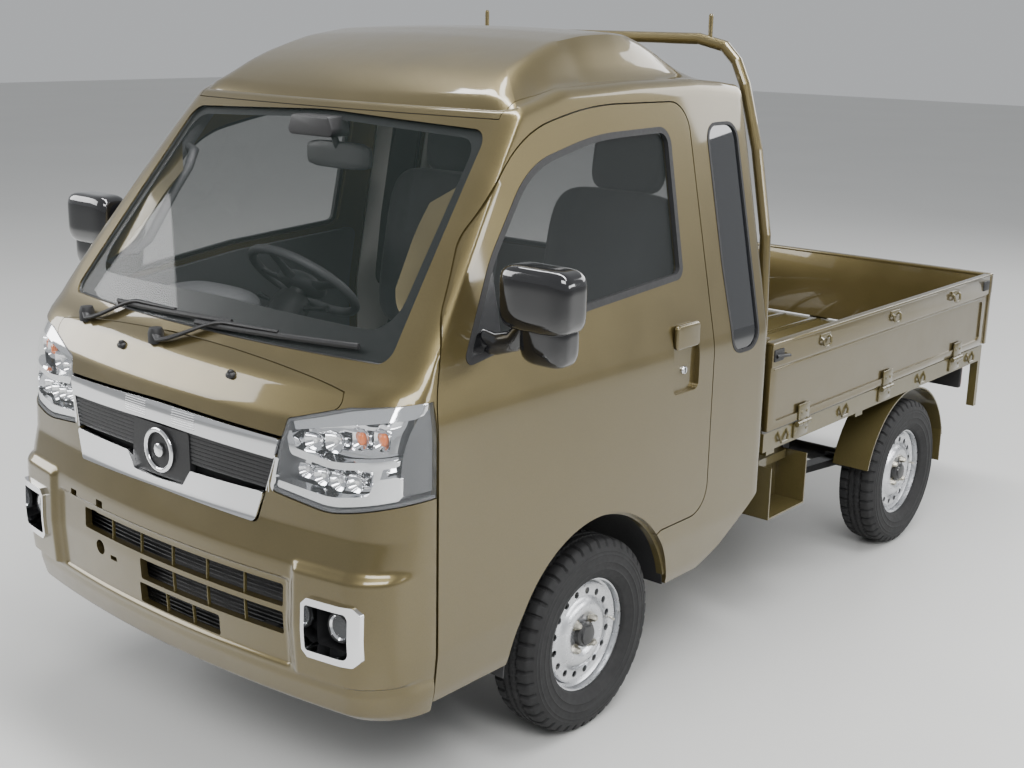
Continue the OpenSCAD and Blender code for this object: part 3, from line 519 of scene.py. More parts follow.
def car_paint(name, colour, flake, roughness=0.34, metallic=0.72):
    """Metallic paint: flakes of random tone under a clear coat with a slight orange peel."""
    mat, nodes, links, shader = node_set(name)
    coord = nodes.new("ShaderNodeTexCoord")
    cells = nodes.new("ShaderNodeTexVoronoi")
    cells.inputs["Scale"].default_value = flake
    links.new(coord.outputs["Object"], cells.inputs["Vector"])
    base = np.array(colour, float)
    grey = nodes.new("ShaderNodeRGBToBW")
    links.new(cells.outputs["Color"], grey.inputs["Color"])
    tint = blend_colours(nodes, links, grey.outputs["Val"], tuple(base * 0.86), tuple(base * 1.14))
    links.new(tint, shader.inputs["Base Color"])
    haze = object_noise(nodes, links, 9.0, 3.0)
    links.new(between(nodes, links, haze, roughness - 0.03, roughness + 0.04), shader.inputs["Roughness"])
    peel = object_noise(nodes, links, 55.0, 1.0)
    add_bump(nodes, links, shader, peel, 0.02, 0.001)
    shader.inputs["Metallic"].default_value = metallic
    shader.inputs["Coat Weight"].default_value = 1.0
    shader.inputs["Coat Roughness"].default_value = 0.04
    mat.diffuse_color = (*base, 1)
    return mat


def glass(name, tint, alpha):
    """Thin clear glass: a tinted gloss layer that mostly lets through what is behind."""
    mat, nodes, links, shader = node_set(name)
    smear = object_noise(nodes, links, 7.0, 3.0)
    links.new(between(nodes, links, smear, 0.01, 0.03), shader.inputs["Roughness"])
    shader.inputs["Base Color"].default_value = (*tint, 1)
    shader.inputs["Alpha"].default_value = alpha
    shader.inputs["Specular IOR Level"].default_value = 0.9
    shader.inputs["Coat Weight"].default_value = 1.0
    shader.inputs["Coat Roughness"].default_value = 0.01
    mat.diffuse_color = (*tint, alpha)
    return mat


def woven(name, colour):
    """Cloth: two crossed fine waves raise the threads, with sheen and a patchy tone."""
    mat, nodes, links, shader = node_set(name)
    coord = nodes.new("ShaderNodeTexCoord")
    waves = []
    for direction in ("X", "Z"):
        wave = nodes.new("ShaderNodeTexWave")
        wave.bands_direction = direction
        wave.inputs["Scale"].default_value = THREADS_PER_METRE
        wave.inputs["Distortion"].default_value = 0.6
        links.new(coord.outputs["Object"], wave.inputs["Vector"])
        waves.append(wave.outputs["Fac"])
    weave = nodes.new("ShaderNodeMath")
    weave.operation = "MAXIMUM"
    links.new(waves[0], weave.inputs[0])
    links.new(waves[1], weave.inputs[1])
    add_bump(nodes, links, shader, weave.outputs[0], 0.35, 0.0006)
    base = np.array(colour, float)
    patch = object_noise(nodes, links, 14.0, 4.0)
    links.new(blend_colours(nodes, links, patch, tuple(base * 0.8), tuple(base * 1.25)),
              shader.inputs["Base Color"])
    shader.inputs["Roughness"].default_value = 0.85
    shader.inputs["Sheen Weight"].default_value = 0.3
    return mat


def make_finishes():
    """Every finish, by its short name."""
    look = bpy.context.scene.truck_look
    olive = np.array(look.paint)
    return {
        "paint": car_paint("olive_paint", olive, 1400.0),
        "bed": car_paint("bed_paint", olive * [0.92, 0.95, 0.82], 900.0, 0.46, 0.5),
        "under": car_paint("underbody_paint", olive * [0.8, 0.82, 0.72], 700.0, 0.5, 0.4),
        "chrome": finish("chrome_trim", (0.88, 0.885, 0.90), 0.05, 1.0, 0.02, rough_swing=0.02,
                         Coat_Weight=0.3),
        "satin_chrome": finish("satin_chrome", (0.62, 0.63, 0.65), 0.22, 1.0, 0.03),
        "gloss_black": finish("gloss_black", (0.006, 0.006, 0.007), 0.10, 0.0, 0.2,
                              rough_swing=0.03, Coat_Weight=1.0, Coat_Roughness=0.03),
        "plastic": finish("black_plastic", (0.014, 0.014, 0.015), 0.5, 0.0, 0.15,
                          grain=0.25, grain_scale=900.0),
        "grey": finish("grey_plastic", look.trim, 0.55, 0.0, 0.08,
                       grain=0.3, grain_scale=700.0),
        "lining": finish("light_lining", (0.42, 0.41, 0.385), 0.8, 0.0, 0.06,
                         grain=0.25, grain_scale=600.0),
        "rubber": finish("seal_rubber", (0.014, 0.014, 0.015), 0.62, 0.0, 0.15,
                         grain=0.15, grain_scale=500.0),
        "tyre": finish("tyre_rubber", (0.011, 0.011, 0.0115), 0.78, 0.0, 0.22, 18.0,
                       grain=0.2, grain_scale=350.0),
        "rim": finish("silver_rim", look.rim, 0.30, 0.85, 0.05, 12.0,
                      Coat_Weight=0.6, Coat_Roughness=0.15),
        "zinc": finish("zinc_steel", (0.45, 0.43, 0.37), 0.38, 0.9, 0.12, 60.0),
        "chassis": finish("chassis_black", (0.020, 0.020, 0.021), 0.42, 0.0, 0.2, 12.0,
                          grain=0.2, grain_scale=200.0, Coat_Weight=0.3),
        "iron": finish("cast_metal", (0.16, 0.155, 0.15), 0.55, 0.8, 0.2, 30.0,
                       grain=0.5, grain_scale=260.0),
        "steel": finish("bare_steel", (0.36, 0.34, 0.31), 0.4, 0.95, 0.15, 25.0),
        "screen": glass("screen_glass", (0.03, 0.045, 0.04), 0.10),
        "side_glass": glass("side_glass", (0.012, 0.016, 0.015), 0.34),
        "back_glass": glass("back_glass", (0.03, 0.04, 0.038), 0.15),
        "dark_glass": glass("dark_glass", (0.006, 0.007, 0.009), 0.94),
        "lens": glass("lamp_lens", (0.55, 0.58, 0.60), 0.05),
        "amber": finish("amber_lens", (0.75, 0.16, 0.01), 0.15, 0.0, 0.1, Coat_Weight=1.0),
        "red": finish("red_lens", (0.42, 0.008, 0.008), 0.14, 0.0, 0.1, Coat_Weight=1.0),
        "white": finish("clear_lens", (0.7, 0.7, 0.7), 0.12, 0.0, 0.05, Coat_Weight=1.0),
        "frit": finish("glass_border", (0.004, 0.004, 0.0045), 0.35, 0.0, 0.2),
        "cloth": woven("seat_fabric", look.cloth),
    }


FINISH = {}


# ---------------------------------------------------------------------------
# The cab's skin
#
# A point of the skin has a place s round the plan and a height z.  s runs from the middle
# of the front (0) over the bowed front (1), the corner (2), the straight side (3) and the
# rear corner (4) to the middle of the back (5).

PROFILE = rounded([
    (-1648, 300, 0), (-1672, 318, 14), (-1690, 400, 60), (-1697, 520, 150), (-1692, 655, 90),
    (-1669, 742, 50), (-1660, 925, 80), (-1646, 990, 70), (-1607, 1062, 90),
    (-1561, 1098, 20), (-1540, 1120, 10), (-1325, 1372.5, 0), (-1110, 1625, 0), (-1067, 1675, 0)])
WIDTHS = rounded([
    (712, 290, 0), (726, 345, 40), (HALF_WIDTH, 450, 140), (HALF_WIDTH, 985, 320),
    (HALF_WIDTH - 155, 1760, 0)])
DOOR_FRONT_LINE = np.array([
    (1060, -1455), (1190, -1404), (1256, -1361), (1378, -1270), (1480, -1163), (1598, -1056),
    (1650, -1010)])
BOW = np.array([(300, 3700), (1000, 3500), (1120, 3300), (1625, 4900)])
CORNER = np.array([(300, 118), (1060, 118), (1180, 52), (1650, 60)])
FRONT_TOP_RADIUS, TOP_RADIUS = 8.0, 30.0
REAR_RADIUS = 42.0
SIDE_FIRST = 0.8
HEADER_Z = 1650.0
SKIRT_Z = 322.0
LIP_Z = 303.0
SIDE_Y = -1050.0
ROOF_CENTRE = (0.0, -560.0)
ROOF_MIDDLE_Z = 1706.0
ROOF_ROWS = 42
ROOF_CROWN = 14.0
SHOULDER_WIDTH, FRONT_SHOULDER_EXTRA = 92.0, 50.0
GUTTER = np.array([
    (-1190, 1650), (-1080, 1653), (-1000, 1672), (-883, 1698), (-560, 1708), (-258, 1709),
    (-80, 1698), (-15, 1690)])
CREST = np.array([
    (-1085, 1650), (-1050, 1684), (-1010, 1713), (-960, 1743), (-895, 1771), (-820, 1796),
    (-740, 1817),
    (-620, 1835), (-500, 1841), (-420, 1836), (-350, 1818), (-270, 1785), (-180, 1745),
    (-95, 1712), (-15, 1694)])
SHOULDER = np.array([(-1080, 640), (-1000, 592), (-900, 560), (-700, 540), (-80, 528)])
THREADS_PER_METRE = 150.0


def front_y(z, t):
    """Middle of the front at a height, moved in by t square to its slope."""
    y = np.interp(z, PROFILE[:, 1], PROFILE[:, 0])
    slope = (np.interp(z + 6, PROFILE[:, 1], PROFILE[:, 0]) - y) / 6
    return y + t * np.sqrt(1 + slope * slope)


def bow_radius(z):
    """Radius of the front's bow at a height."""
    return np.interp(z, BOW[:, 0], BOW[:, 1])


def corner_width(z):
    """Width of the rounded front corner at a height."""
    return np.interp(z, CORNER[:, 0], CORNER[:, 1])


def plan_point(s, z, t):
    """Place (x, y) and outward direction of the skin at s and z, moved in by t.

    Front: y = front_y + x^2 / 2R.  Corner: the same plus b (1 - cos a) while x grows by
    sin a.  Side and back are straight, joined by a quarter circle.
    """
    w = np.interp(z, WIDTHS[:, 1], WIDTHS[:, 0])
    y0, r = front_y(z, t), bow_radius(z)
    a = corner_width(z)
    knee = w - a
    side_start = np.interp(z, DOOR_FRONT_LINE[:, 0], DOOR_FRONT_LINE[:, 1]) - 8
    b = np.maximum(side_start - (np.interp(z, PROFILE[:, 1], PROFILE[:, 0]) + w * w / (2 * r)), 24)
    w, a, b = w - t, a - t, np.maximum(b - t, 3)
    corner_end = y0 + w * w / (2 * r) + b
    rear = CAB_REAR - t
    rr = REAR_RADIUS - min(t, REAR_RADIUS - 4)
    turn = np.clip(s - 1, 0, 1) * HALF_PI
    back = np.clip(s - 3, 0, 1) * HALF_PI
    x_front = knee * s
    x_corner = knee + a * np.sin(turn)
    zones = [s <= 1, s <= 2, s <= 3, s <= 4]
    x = np.select(zones, [x_front, x_corner, w + 0 * s, w - rr * (1 - np.cos(back))],
                  (w - rr) * (5 - s))
    y = np.select(zones, [
        y0 + x_front ** 2 / (2 * r),
        y0 + x_corner ** 2 / (2 * r) + b * (1 - np.cos(turn)),
        corner_end + (rear - rr - corner_end) * (s - 2),
        rear - rr + rr * np.sin(back)], rear)
    nx = np.select(zones, [0.1 * s, 0.1 + 0.9 * np.sin(turn), 1 + 0 * s, np.cos(back)], 0 * s)
    ny = np.select(zones, [-1 + 0 * s, -np.cos(turn), 0 * s, np.sin(back)], 1 + 0 * s)
    size = np.hypot(nx, ny)
    return x, y, nx / size, ny / size


def top_height(s):
    """Height where the skin turns over into the roof, along s."""
    y_side = SIDE_Y + (s - 2) * (CAB_REAR - SIDE_Y)
    side = np.interp(y_side, GUTTER[:, 0], GUTTER[:, 1])
    start = np.interp(SIDE_Y, GUTTER[:, 0], GUTTER[:, 1])
    return np.select([s <= 1, s <= 2, s <= 3], [
        HEADER_Z + 0 * s, HEADER_Z + (start - HEADER_Z) * (s - 1), side],
        np.interp(CAB_REAR, GUTTER[:, 0], GUTTER[:, 1]))


def skin_rows(s, z, t):
    """Grid of skin points: rows at heights z (n by m, or n), columns at s."""
    z = np.broadcast_to(z, (z.shape[0], len(s))) if z.ndim == 2 else z[:, None] + 0 * s[None]
    x, y, nx, ny = plan_point(s[None] + 0 * z, z, t)
    return np.stack([x, y, z], -1), nx, ny


def roof_height(x, y, base):
    """Height of the roof: the raised middle falls away at its shoulders.

    z = base + (crest(y) - base) * (1 - smoothstep over the shoulder), less a slight crown.
    """
    crest = np.interp(y, CREST[:, 0], CREST[:, 1]) - ROOF_CROWN * (x / 500) ** 2
    edge = np.interp(y, SHOULDER[:, 0], SHOULDER[:, 1])
    width = SHOULDER_WIDTH + FRONT_SHOULDER_EXTRA * (1 - smoothstep(-1080, -880, y))
    inside = 1 - smoothstep(edge - width, edge, np.abs(x))
    return base + np.maximum(crest - base, 0) * inside


def smoothed(curve, passes=3):
    """Curve resampled finely and averaged, so that no kink shows."""
    x = np.linspace(curve[0, 0], curve[-1, 0], 240)
    y = np.interp(x, curve[:, 0], curve[:, 1])
    for _ in range(passes * 10):
        y[1:-1] = (y[:-2] + 2 * y[1:-1] + y[2:]) / 4
    return np.stack([x, y], 1)


CREST = smoothed(CREST)
GUTTER = smoothed(GUTTER, 2)
SHOULDER = smoothed(SHOULDER, 2)


def cab_skin(t, rows=92, columns=(36, 12, 60, 7, 10)):
    """Closed loop of the cab's left half and its mirror, from the skirt to the roof's middle."""
    s = np.concatenate([
        i + np.linspace(0, 1, n, endpoint=False) for i, n in enumerate(columns)] + [[5.0]])
    top = top_height(s) - t
    radius = FRONT_TOP_RADIUS + (TOP_RADIUS - FRONT_TOP_RADIUS) * smoothstep(0.95, 2.1, s)
    radius = np.maximum(radius - t, 3)
    low = np.linspace(0, 1, rows)[:, None]
    bottom = LIP_Z - 3
    z = bottom + low * (top - radius - bottom)
    wall, _, _ = skin_rows(s, z, t)
    turn = np.linspace(0, HALF_PI, 7)[1:, None]
    z = (top - radius)[None] + radius * np.sin(turn)
    edge, nx, ny = skin_rows(s, z, t)
    inset = radius * (1 - np.cos(turn))
    edge[..., 0] -= nx * inset
    edge[..., 1] -= ny * inset
    rim = edge[-1]
    share = (1 - np.linspace(1, 0, ROOF_ROWS)[1:] ** 1.15)[:, None]
    x = rim[None, :, 0] * (1 - share) + ROOF_CENTRE[0] * share
    y = rim[None, :, 1] * (1 - share) + ROOF_CENTRE[1] * share
    middle = ROOF_MIDDLE_Z - t
    rise = 1 - (1 - np.clip(share / 0.3, 0, 1)) ** 2
    base = rim[None, :, 2] + (middle - rim[None, :, 2]) * rise
    roof = np.stack([x, y, roof_height(x, y, base + t) - t], -1)
    left = np.concatenate([wall, edge, roof])
    right = left[:, -2:0:-1] * [-1, 1, 1]
    return np.concatenate([left, right], 1)


def cab_solid(t0, t1, **sizes):
    """Closed shell between two depths of the cab's skin, open only inside."""
    outer, inner = cab_skin(t0, **sizes), cab_skin(t1, **sizes)
    n, m = outer.shape[:2]
    count = n * m
    points = np.concatenate([outer.reshape(-1, 3), inner.reshape(-1, 3)])
    quads = grid_faces(n, m, False, True)
    low = np.append(np.arange(m), 0)
    rim = np.stack([low[1:], low[:-1], low[:-1] + count, low[1:] + count], 1)
    return points, [quads, quads[:, ::-1] + count, rim]


def side_solid(t0, t1, z0, z1, rows, columns=(6, 12, 70, 6)):
    """Closed piece of the left side's skin between two depths, round both corners."""
    s = np.concatenate([np.linspace(SIDE_FIRST, 1, columns[0], endpoint=False)] + [
        i + 1 + np.linspace(0, 1, n, endpoint=False) for i, n in enumerate(columns[1:])] + [[4.0]])
    z = np.linspace(z0, z1, rows)
    return shell(skin_rows(s, z, t0)[0], skin_rows(s, z, t1)[0])


def front_solid(t0, t1, z0, z1, rows, columns, last=2.0, relief=None):
    """Closed piece of the front's skin, both halves, with a relief added outwards."""
    s = np.concatenate([
        i + np.linspace(0, 1, n, endpoint=False) for i, n in enumerate(columns[:2])]
        + [np.linspace(2, last, columns[2])])
    z = np.linspace(z0, z1, rows)
    grids = []
    for t in (t0, t1):
        p, nx, ny = skin_rows(s, z, t)
        if relief is not None:
            out = relief(p[..., 0], p[..., 2])
            p = p + np.stack([nx * out, ny * out, 0 * out], -1)
        grids.append(np.concatenate([p[:, :0:-1] * [-1, 1, 1], p], 1))
    return shell(*grids)


def screen_solid(t0, t1, z0=1090, z1=1645):
    """The front's skin round the windscreen, between two depths."""
    return front_solid(t0, t1, z0, z1, 70, (60, 20, 2), 2.02)


def lamp_solid(t0, t1, columns=(60, 30, 2)):
    """The front's skin round the headlights, between two depths."""
    return front_solid(t0, t1, 770, 1080, 46, columns)


def fog_solid(t0, t1, rows=20, columns=(60, 30, 2)):
    """The front's skin round the fog lamps, between two depths."""
    return front_solid(t0, t1, 440, 620, rows, columns)


def skin_at_front(x, z, t=0.0):
    """Point of the front's skin ahead of (x, z), by inverting the corner's sine."""
    x, z = np.broadcast_arrays(np.asarray(x, float), np.asarray(z, float))
    w = np.interp(z, WIDTHS[:, 1], WIDTHS[:, 0])
    a = corner_width(z)
    knee = w - a
    side = np.abs(x)
    turn = np.arcsin(np.clip((side - knee) / (a - t), 0, 1)) / HALF_PI
    s = np.where(side <= knee, side / knee, 1 + turn)
    px, py, _, _ = plan_point(s, z, t)
    return np.stack([np.sign(x) * np.where(side <= knee, side, px), py, z], -1)


def ahead(outline, low=-1800, high=-1300):
    """Outline in (x, z), carried along Y through the front."""
    return slab(outline, low, high, "y")


def aside(outline, low=100, high=900):
    """Outline in (y, z), carried along X through the left side."""
    return slab(outline, low, high, "x")


# ---------------------------------------------------------------------------
# Outlines of the cab's panels: (y, z) from the side and (x, z) from ahead

DOOR = rounded([
    (-1455, 322, 6), (-1000, 322, 0), (-560, 505, 0), (-335, 505, 80), (-335, 1650, 80),
    (-760, 1654, 1200), (-1050, 1600, 400), (-1268, 1378, 500), (-1400, 1195, 350),
    (-1455, 1030, 350)], 8)
WINDOW = rounded([
    (-450, 1192, 34), (-433, 1588, 45), (-760, 1582, 1000), (-1036, 1526, 280),
    (-1215, 1326, 400), (-1350, 1105, 14), (-875, 1166, 300)], 8)
QUARTER = rounded([
    (-235, 945, 48), (-92, 945, 55), (-92, 1588, 50), (-250, 1588, 45), (-250, 1200, 400)])
SCREEN = rounded([
    (-612, 1114, 30), (612, 1114, 30), (552, 1606, 45), (0, 1627, 1500), (-552, 1606, 45)])
SCREEN_CLEAR = rounded([
    (-572, 1172, 60), (0, 1186, 2500), (572, 1172, 60), (528, 1584, 50), (0, 1606, 1500),
    (-528, 1584, 50)])
BACK_WINDOW = rounded([(-500, 1130, 60), (500, 1130, 60), (450, 1590, 60), (-450, 1590, 60)])
GRILLE = rounded([
    (-347, 729, 12), (0, 736, 2500), (347, 729, 12), (414, 938, 6), (0, 950, 2500),
    (-414, 938, 6)])
LAMP = rounded([
    (388, 813, 12), (560, 792, 220), (HALF_WIDTH + 30, 838, 0), (HALF_WIDTH + 30, 1070, 0),
    (580, 1031, 220), (425, 984, 10)])
UPPER = np.array([
    (HALF_WIDTH + 40, 1070), (HALF_WIDTH + 40, 1900), (-HALF_WIDTH - 40, 1900),
    (-HALF_WIDTH - 40, 1070), (-580, 1031), (-426, 984), (-416, 941), (0, 953), (416, 941),
    (426, 984), (580, 1031)], float)
FRONT_LOW = np.array([
    (-900, 200), (900, 200), (900, 1072), (580, 1031), (426, 984), (416, 941), (0, 953),
    (-416, 941), (-426, 984), (-580, 1031), (-900, 1072)], float)
HOOD = rounded([
    (-416, 943, 4), (0, 955, 2500), (416, 943, 4), (426, 986, 10), (560, 1026, 20),
    (520, 1140, 0), (-520, 1140, 0), (-560, 1026, 20), (-426, 986, 10)])
ROOF_PANEL = rounded([
    (-572, -1250, 0), (572, -1250, 0), (560, -1000, 200), (543, -42, 29), (-543, -42, 29),
    (-560, -1000, 200)])
WALL, LINING_DEPTH = 24.0, 24.6
SCREEN_REACH, SCREEN_CUT = (-1800, -900), (-1900, -800)
COWL_Y = -1561.0
FRONT_SHUT_Y = -1459.0
ARCH = (-847.0, 270.5, 350.0)
FOG = (600.0, 530.0, 76.0, 72.0)
FOG_CHAMFER = 16.0
POD_OUT, WELL_IN, LIP_OUT = 13.0, 9.0, 5.0
AIR_ROWS = ((-335, 440, 545, 600, 6), (-75, 440, 476, 532, 4), (-85, 225, 410, 464, 3))


def arch_cut(radius=0.0, low=560):
    """Round cutter for the left front wheel's arch, with its radius grown."""
    t = np.linspace(0, 2 * np.pi, 120, endpoint=False)
    r = ARCH[2] + radius
    return aside(np.stack([ARCH[0] + r * np.cos(t), ARCH[1] + r * np.sin(t)], 1), low)


def skirt_cut():
    """What is cut away under the cab's sides and back."""
    outline = np.array([
        (FRONT_SHUT_Y, 200), (60, 200), (60, 505), (-10, 505), (-230, 368), (-345, SKIRT_Z),
        (FRONT_SHUT_Y, SKIRT_Z)])
    return slab(outline, -900, 900, "x")


def build_cab():
    """Cab shell, roof skin, floor and the trim round the windscreen."""
    front_low = slab(FRONT_LOW, -1900, FRONT_SHUT_Y, "y")
    hood = slab(grown(HOOD, bpy.context.scene.truck_look.panel_gap), -1900, COWL_Y, "y")
    roof_seam = slab(grown(ROOF_PANEL, 2), 1630, 2000, "z")
    reveal = carve(screen_solid(4.5, 60, 1085, 1646), ahead(grown(SCREEN, 26), *SCREEN_REACH))
    drops = [*pair(aside(grown(DOOR, 4), 420)), *pair(aside(QUARTER, 560)),
             slab(BACK_WINDOW, -200, 100, "y"), ahead(SCREEN, *SCREEN_REACH), reveal, front_low,
             hood, *pair(arch_cut()), skirt_cut(), roof_seam]
    shape = carve(cab_solid(0, WALL), None, drops)
    piece("cab_shell", shape, "paint", "body", "cab_body")
    top = carve(cab_solid(0.4, WALL), slab(ROOF_PANEL, 1632, 2000, "z"))
    piece("roof_skin", top, "paint", "body", "roof")
    half = HALF_WIDTH - 26
    floor = merge(
        box((-half, -1500, 445), (half, -1190, 470), 3),
        box((-half, -1190, 348), (half, -1166, 690), 3),
        box((-half, -1190, 664), (half, CAB_REAR - 20, 690), 3),
        box((-half + 45, -1500, 330), (half - 45, -1480, 1040), 3))
    piece("cab_floor", floor, "chassis", "body")
    trim = []
    for side in (1, -1):
        trim.append(tube(np.stack([skin_at_front(side * x, z, 48) for x, z in (
            (622, 1180), (612, 1250), (594, 1370), (576, 1480), (562, 1590))]), 20, 10,
            up=(1, 0, 0), flat=0.7))
    ring = carve(screen_solid(5, 30, 1085, 1646), ahead(grown(SCREEN, 25), *SCREEN_REACH),
                 [ahead(SCREEN, *SCREEN_CUT)])
    piece("pillar_trim", merge(ring, *trim), "grey", "body")


def fog_outline():
    """Square bezel of a fog lamp with its corners cut off."""
    x, z, rx, rz = FOG
    c = FOG_CHAMFER
    return rounded([
        (x - rx + c, z - rz, 5), (x + rx - c, z - rz, 8), (x + rx, z - rz + c, 8),
        (x + rx, z + rz - c, 8), (x + rx - c, z + rz, 8), (x - rx + c, z + rz, 5),
        (x - rx, z + rz - c, 5), (x - rx, z - rz + c, 5)], 3)


def build_front():
    """Bumper cover with its openings, hood panel and air intake."""
    def relief(x, z):
        """Pods round the fog lamps stand out, the air openings lie back, the lip juts."""
        side = np.abs(x)
        pod = smoothstep(470, 492, side) * (1 - smoothstep(700, 737, side))
        pod = pod * smoothstep(392, 402, z) * (1 - smoothstep(650, 676, z))
        well = (1 - smoothstep(450, 470, side)) * smoothstep(398, 408, z) * (1 - smoothstep(612, 624, z))
        lip = 1 - smoothstep(366, 392, z)
        return POD_OUT * pod - WELL_IN * well + LIP_OUT * lip

    air, fins = [], []
    for left, right, low, high, cells in AIR_ROWS:
        air.append(slab(rectangle(left, low, right, high, 6, 3),
                        -1800, -1560, "y"))
        for x in np.linspace(left, right, cells + 1)[1:-1]:
            fins.append(tube([skin_at_front(x, z, 18) for z in (low - 4, (low + high) / 2, high + 4)],
                             5, 8, up=(1, 0, 0), flat=0.4))
    fog = grown(fog_outline(), -4)
    slots = [slab(rectangle(x, z, x + w, z + h, 3, 2),
                  -1800, -1560, "y") for x, z, w, h in (
        (-395, 618, 30, 20), (-262, 622, 30, 20), (-300, 590, 26, 12), (-215, 488, 30, 12))]
    slots.append(lathe([(0, 0), (20, 0), (20, 200), (0, 200)], (-262, -1790, 508), "y", 32))
    gap = bpy.context.scene.truck_look.panel_gap
    drops = [ahead(grown(UPPER, gap), -1900, -1200), ahead(grown(GRILLE, gap)),
             ahead(grown(LAMP, gap)), ahead(mirrored(grown(LAMP, gap))),
             ahead(fog), ahead(mirrored(fog)), *air, *slots]
    solid = front_solid(0, 20, LIP_Z, 1075, 150, (90, 34, 2), relief=relief)
    piece("bumper_cover", carve(solid, None, drops), "paint", "body", "front_bumper")
    hood = carve(front_solid(0, 16, 930, 1112, 60, (60, 14, 2), 2.02),
                 slab(HOOD, -1900, COWL_Y - 3, "y"))
    piece("hood_panel", hood, "paint", "body", "front_panel")
    backing = carve(front_solid(60, 64, 390, 700, 30, (40, 10, 2), 2.02),
                    ahead(rectangle(-470, 395, 470, 640, 9)))
    mesh_lines = [tube(skin_at_front(np.linspace(-440, 440, 24), z, 42), 1.6, 6)
                  for z in np.arange(404, 612, 11)]
    piece("air_intake", merge(backing, *mesh_lines), "plastic", "body")
    piece("air_fins", merge(*fins), "bed", "body")


def front_band(outline, t0, t1):
    """Closed piece of the front's skin inside an outline, between two depths."""
    return carve(front_solid(t0, t1, 700, 1000, 46, (60, 18, 2)), ahead(outline))


def build_grille():
    """Chrome bars, dark panel with ribs, fine lines and the plain ring."""
    top_bar = rounded([(-400, 889, 5), (0, 899, 2500), (400, 889, 5), (413, 937, 6), (0, 949, 2500),
                       (-413, 937, 6)])
    low_bar = rounded([
        (-346, 730, 14), (0, 737, 2500), (346, 730, 14), (372, 806, 8), (125, 803, 8),
        (98, 762, 12), (0, 758, 900), (-98, 762, 12), (-125, 803, 8), (-372, 806, 8)])
    ends = rounded([(372, 806, 3), (394, 806, 3), (412, 892, 3), (399, 892, 3)])
    chrome = [front_band(top_bar, -5, 12), front_band(low_bar, -7, 12),
              front_band(ends, 0, 12), front_band(mirrored(ends), 0, 12)]
    bars = piece("grille_bars", merge(*chrome), "chrome", "body", "grille")
    add_bevel(bars, 2.0)
    dark = [front_band(GRILLE, 22, 28)]
    centre = rounded([(-118, 762, 8), (118, 762, 8), (108, 890, 8), (-108, 890, 8)])
    dark.append(front_band(centre, 2, 20))
    for side in (-1, 1):
        for i, z in enumerate(np.linspace(815, 881, 8)):
            outer = 384 + 14 * i / 7
            x = np.linspace(104, outer, 18) * side
            line = skin_at_front(x, z + 6 * (1 - (np.abs(x) / 414) ** 2), 8)
            dark.append(tube(line, 3.6, 8, flat=1.5))
    piece("grille_panel", merge(*dark), "plastic", "body")
    lines = []
    for side in (-1, 1):
        for z in np.linspace(898, 932, 7):
            x = np.linspace(52, 138, 6) * side
            lines.append(tube(skin_at_front(x, z + 8, -5.2), 0.9, 6))
    piece("grille_lines", merge(*lines), "gloss_black", "body")
    turn = np.linspace(0, 2 * np.pi, 24, endpoint=False)
    ring = [(51 + 6.5 * np.cos(a), -4.5 * np.sin(a)) for a in turn]
    centre = skin_at_front(0, 828, -3)
    emblem = merge(lathe(ring, centre, "y", 72, True),
                   lathe([(0, -5), (13, -4.5), (17, -2), (17, 2), (0, 2)], centre, "y", 48))
    piece("emblem_ring", emblem, "chrome", "body")


def cup(centre, radius, depth, squareness=3.0):
    """Reflector bowl facing ahead: y = depth (1 - (r / R)^2), with a squarish rim."""
    t = np.linspace(0, 2 * np.pi, 32, endpoint=False)
    c, s = np.cos(t), np.sin(t)
    k = (np.abs(c) ** squareness + np.abs(s) ** squareness) ** (-1 / squareness)
    r = np.linspace(0.001, 1, 8)[:, None]
    x, z = radius[0] * r * k * c, radius[1] * r * k * s
    y = depth * (1 - r * r) + 0 * t
    front = np.stack([x, y, z], -1)
    back = front + [0, 3, 0]
    return moved(shell(front, back, True), centre)


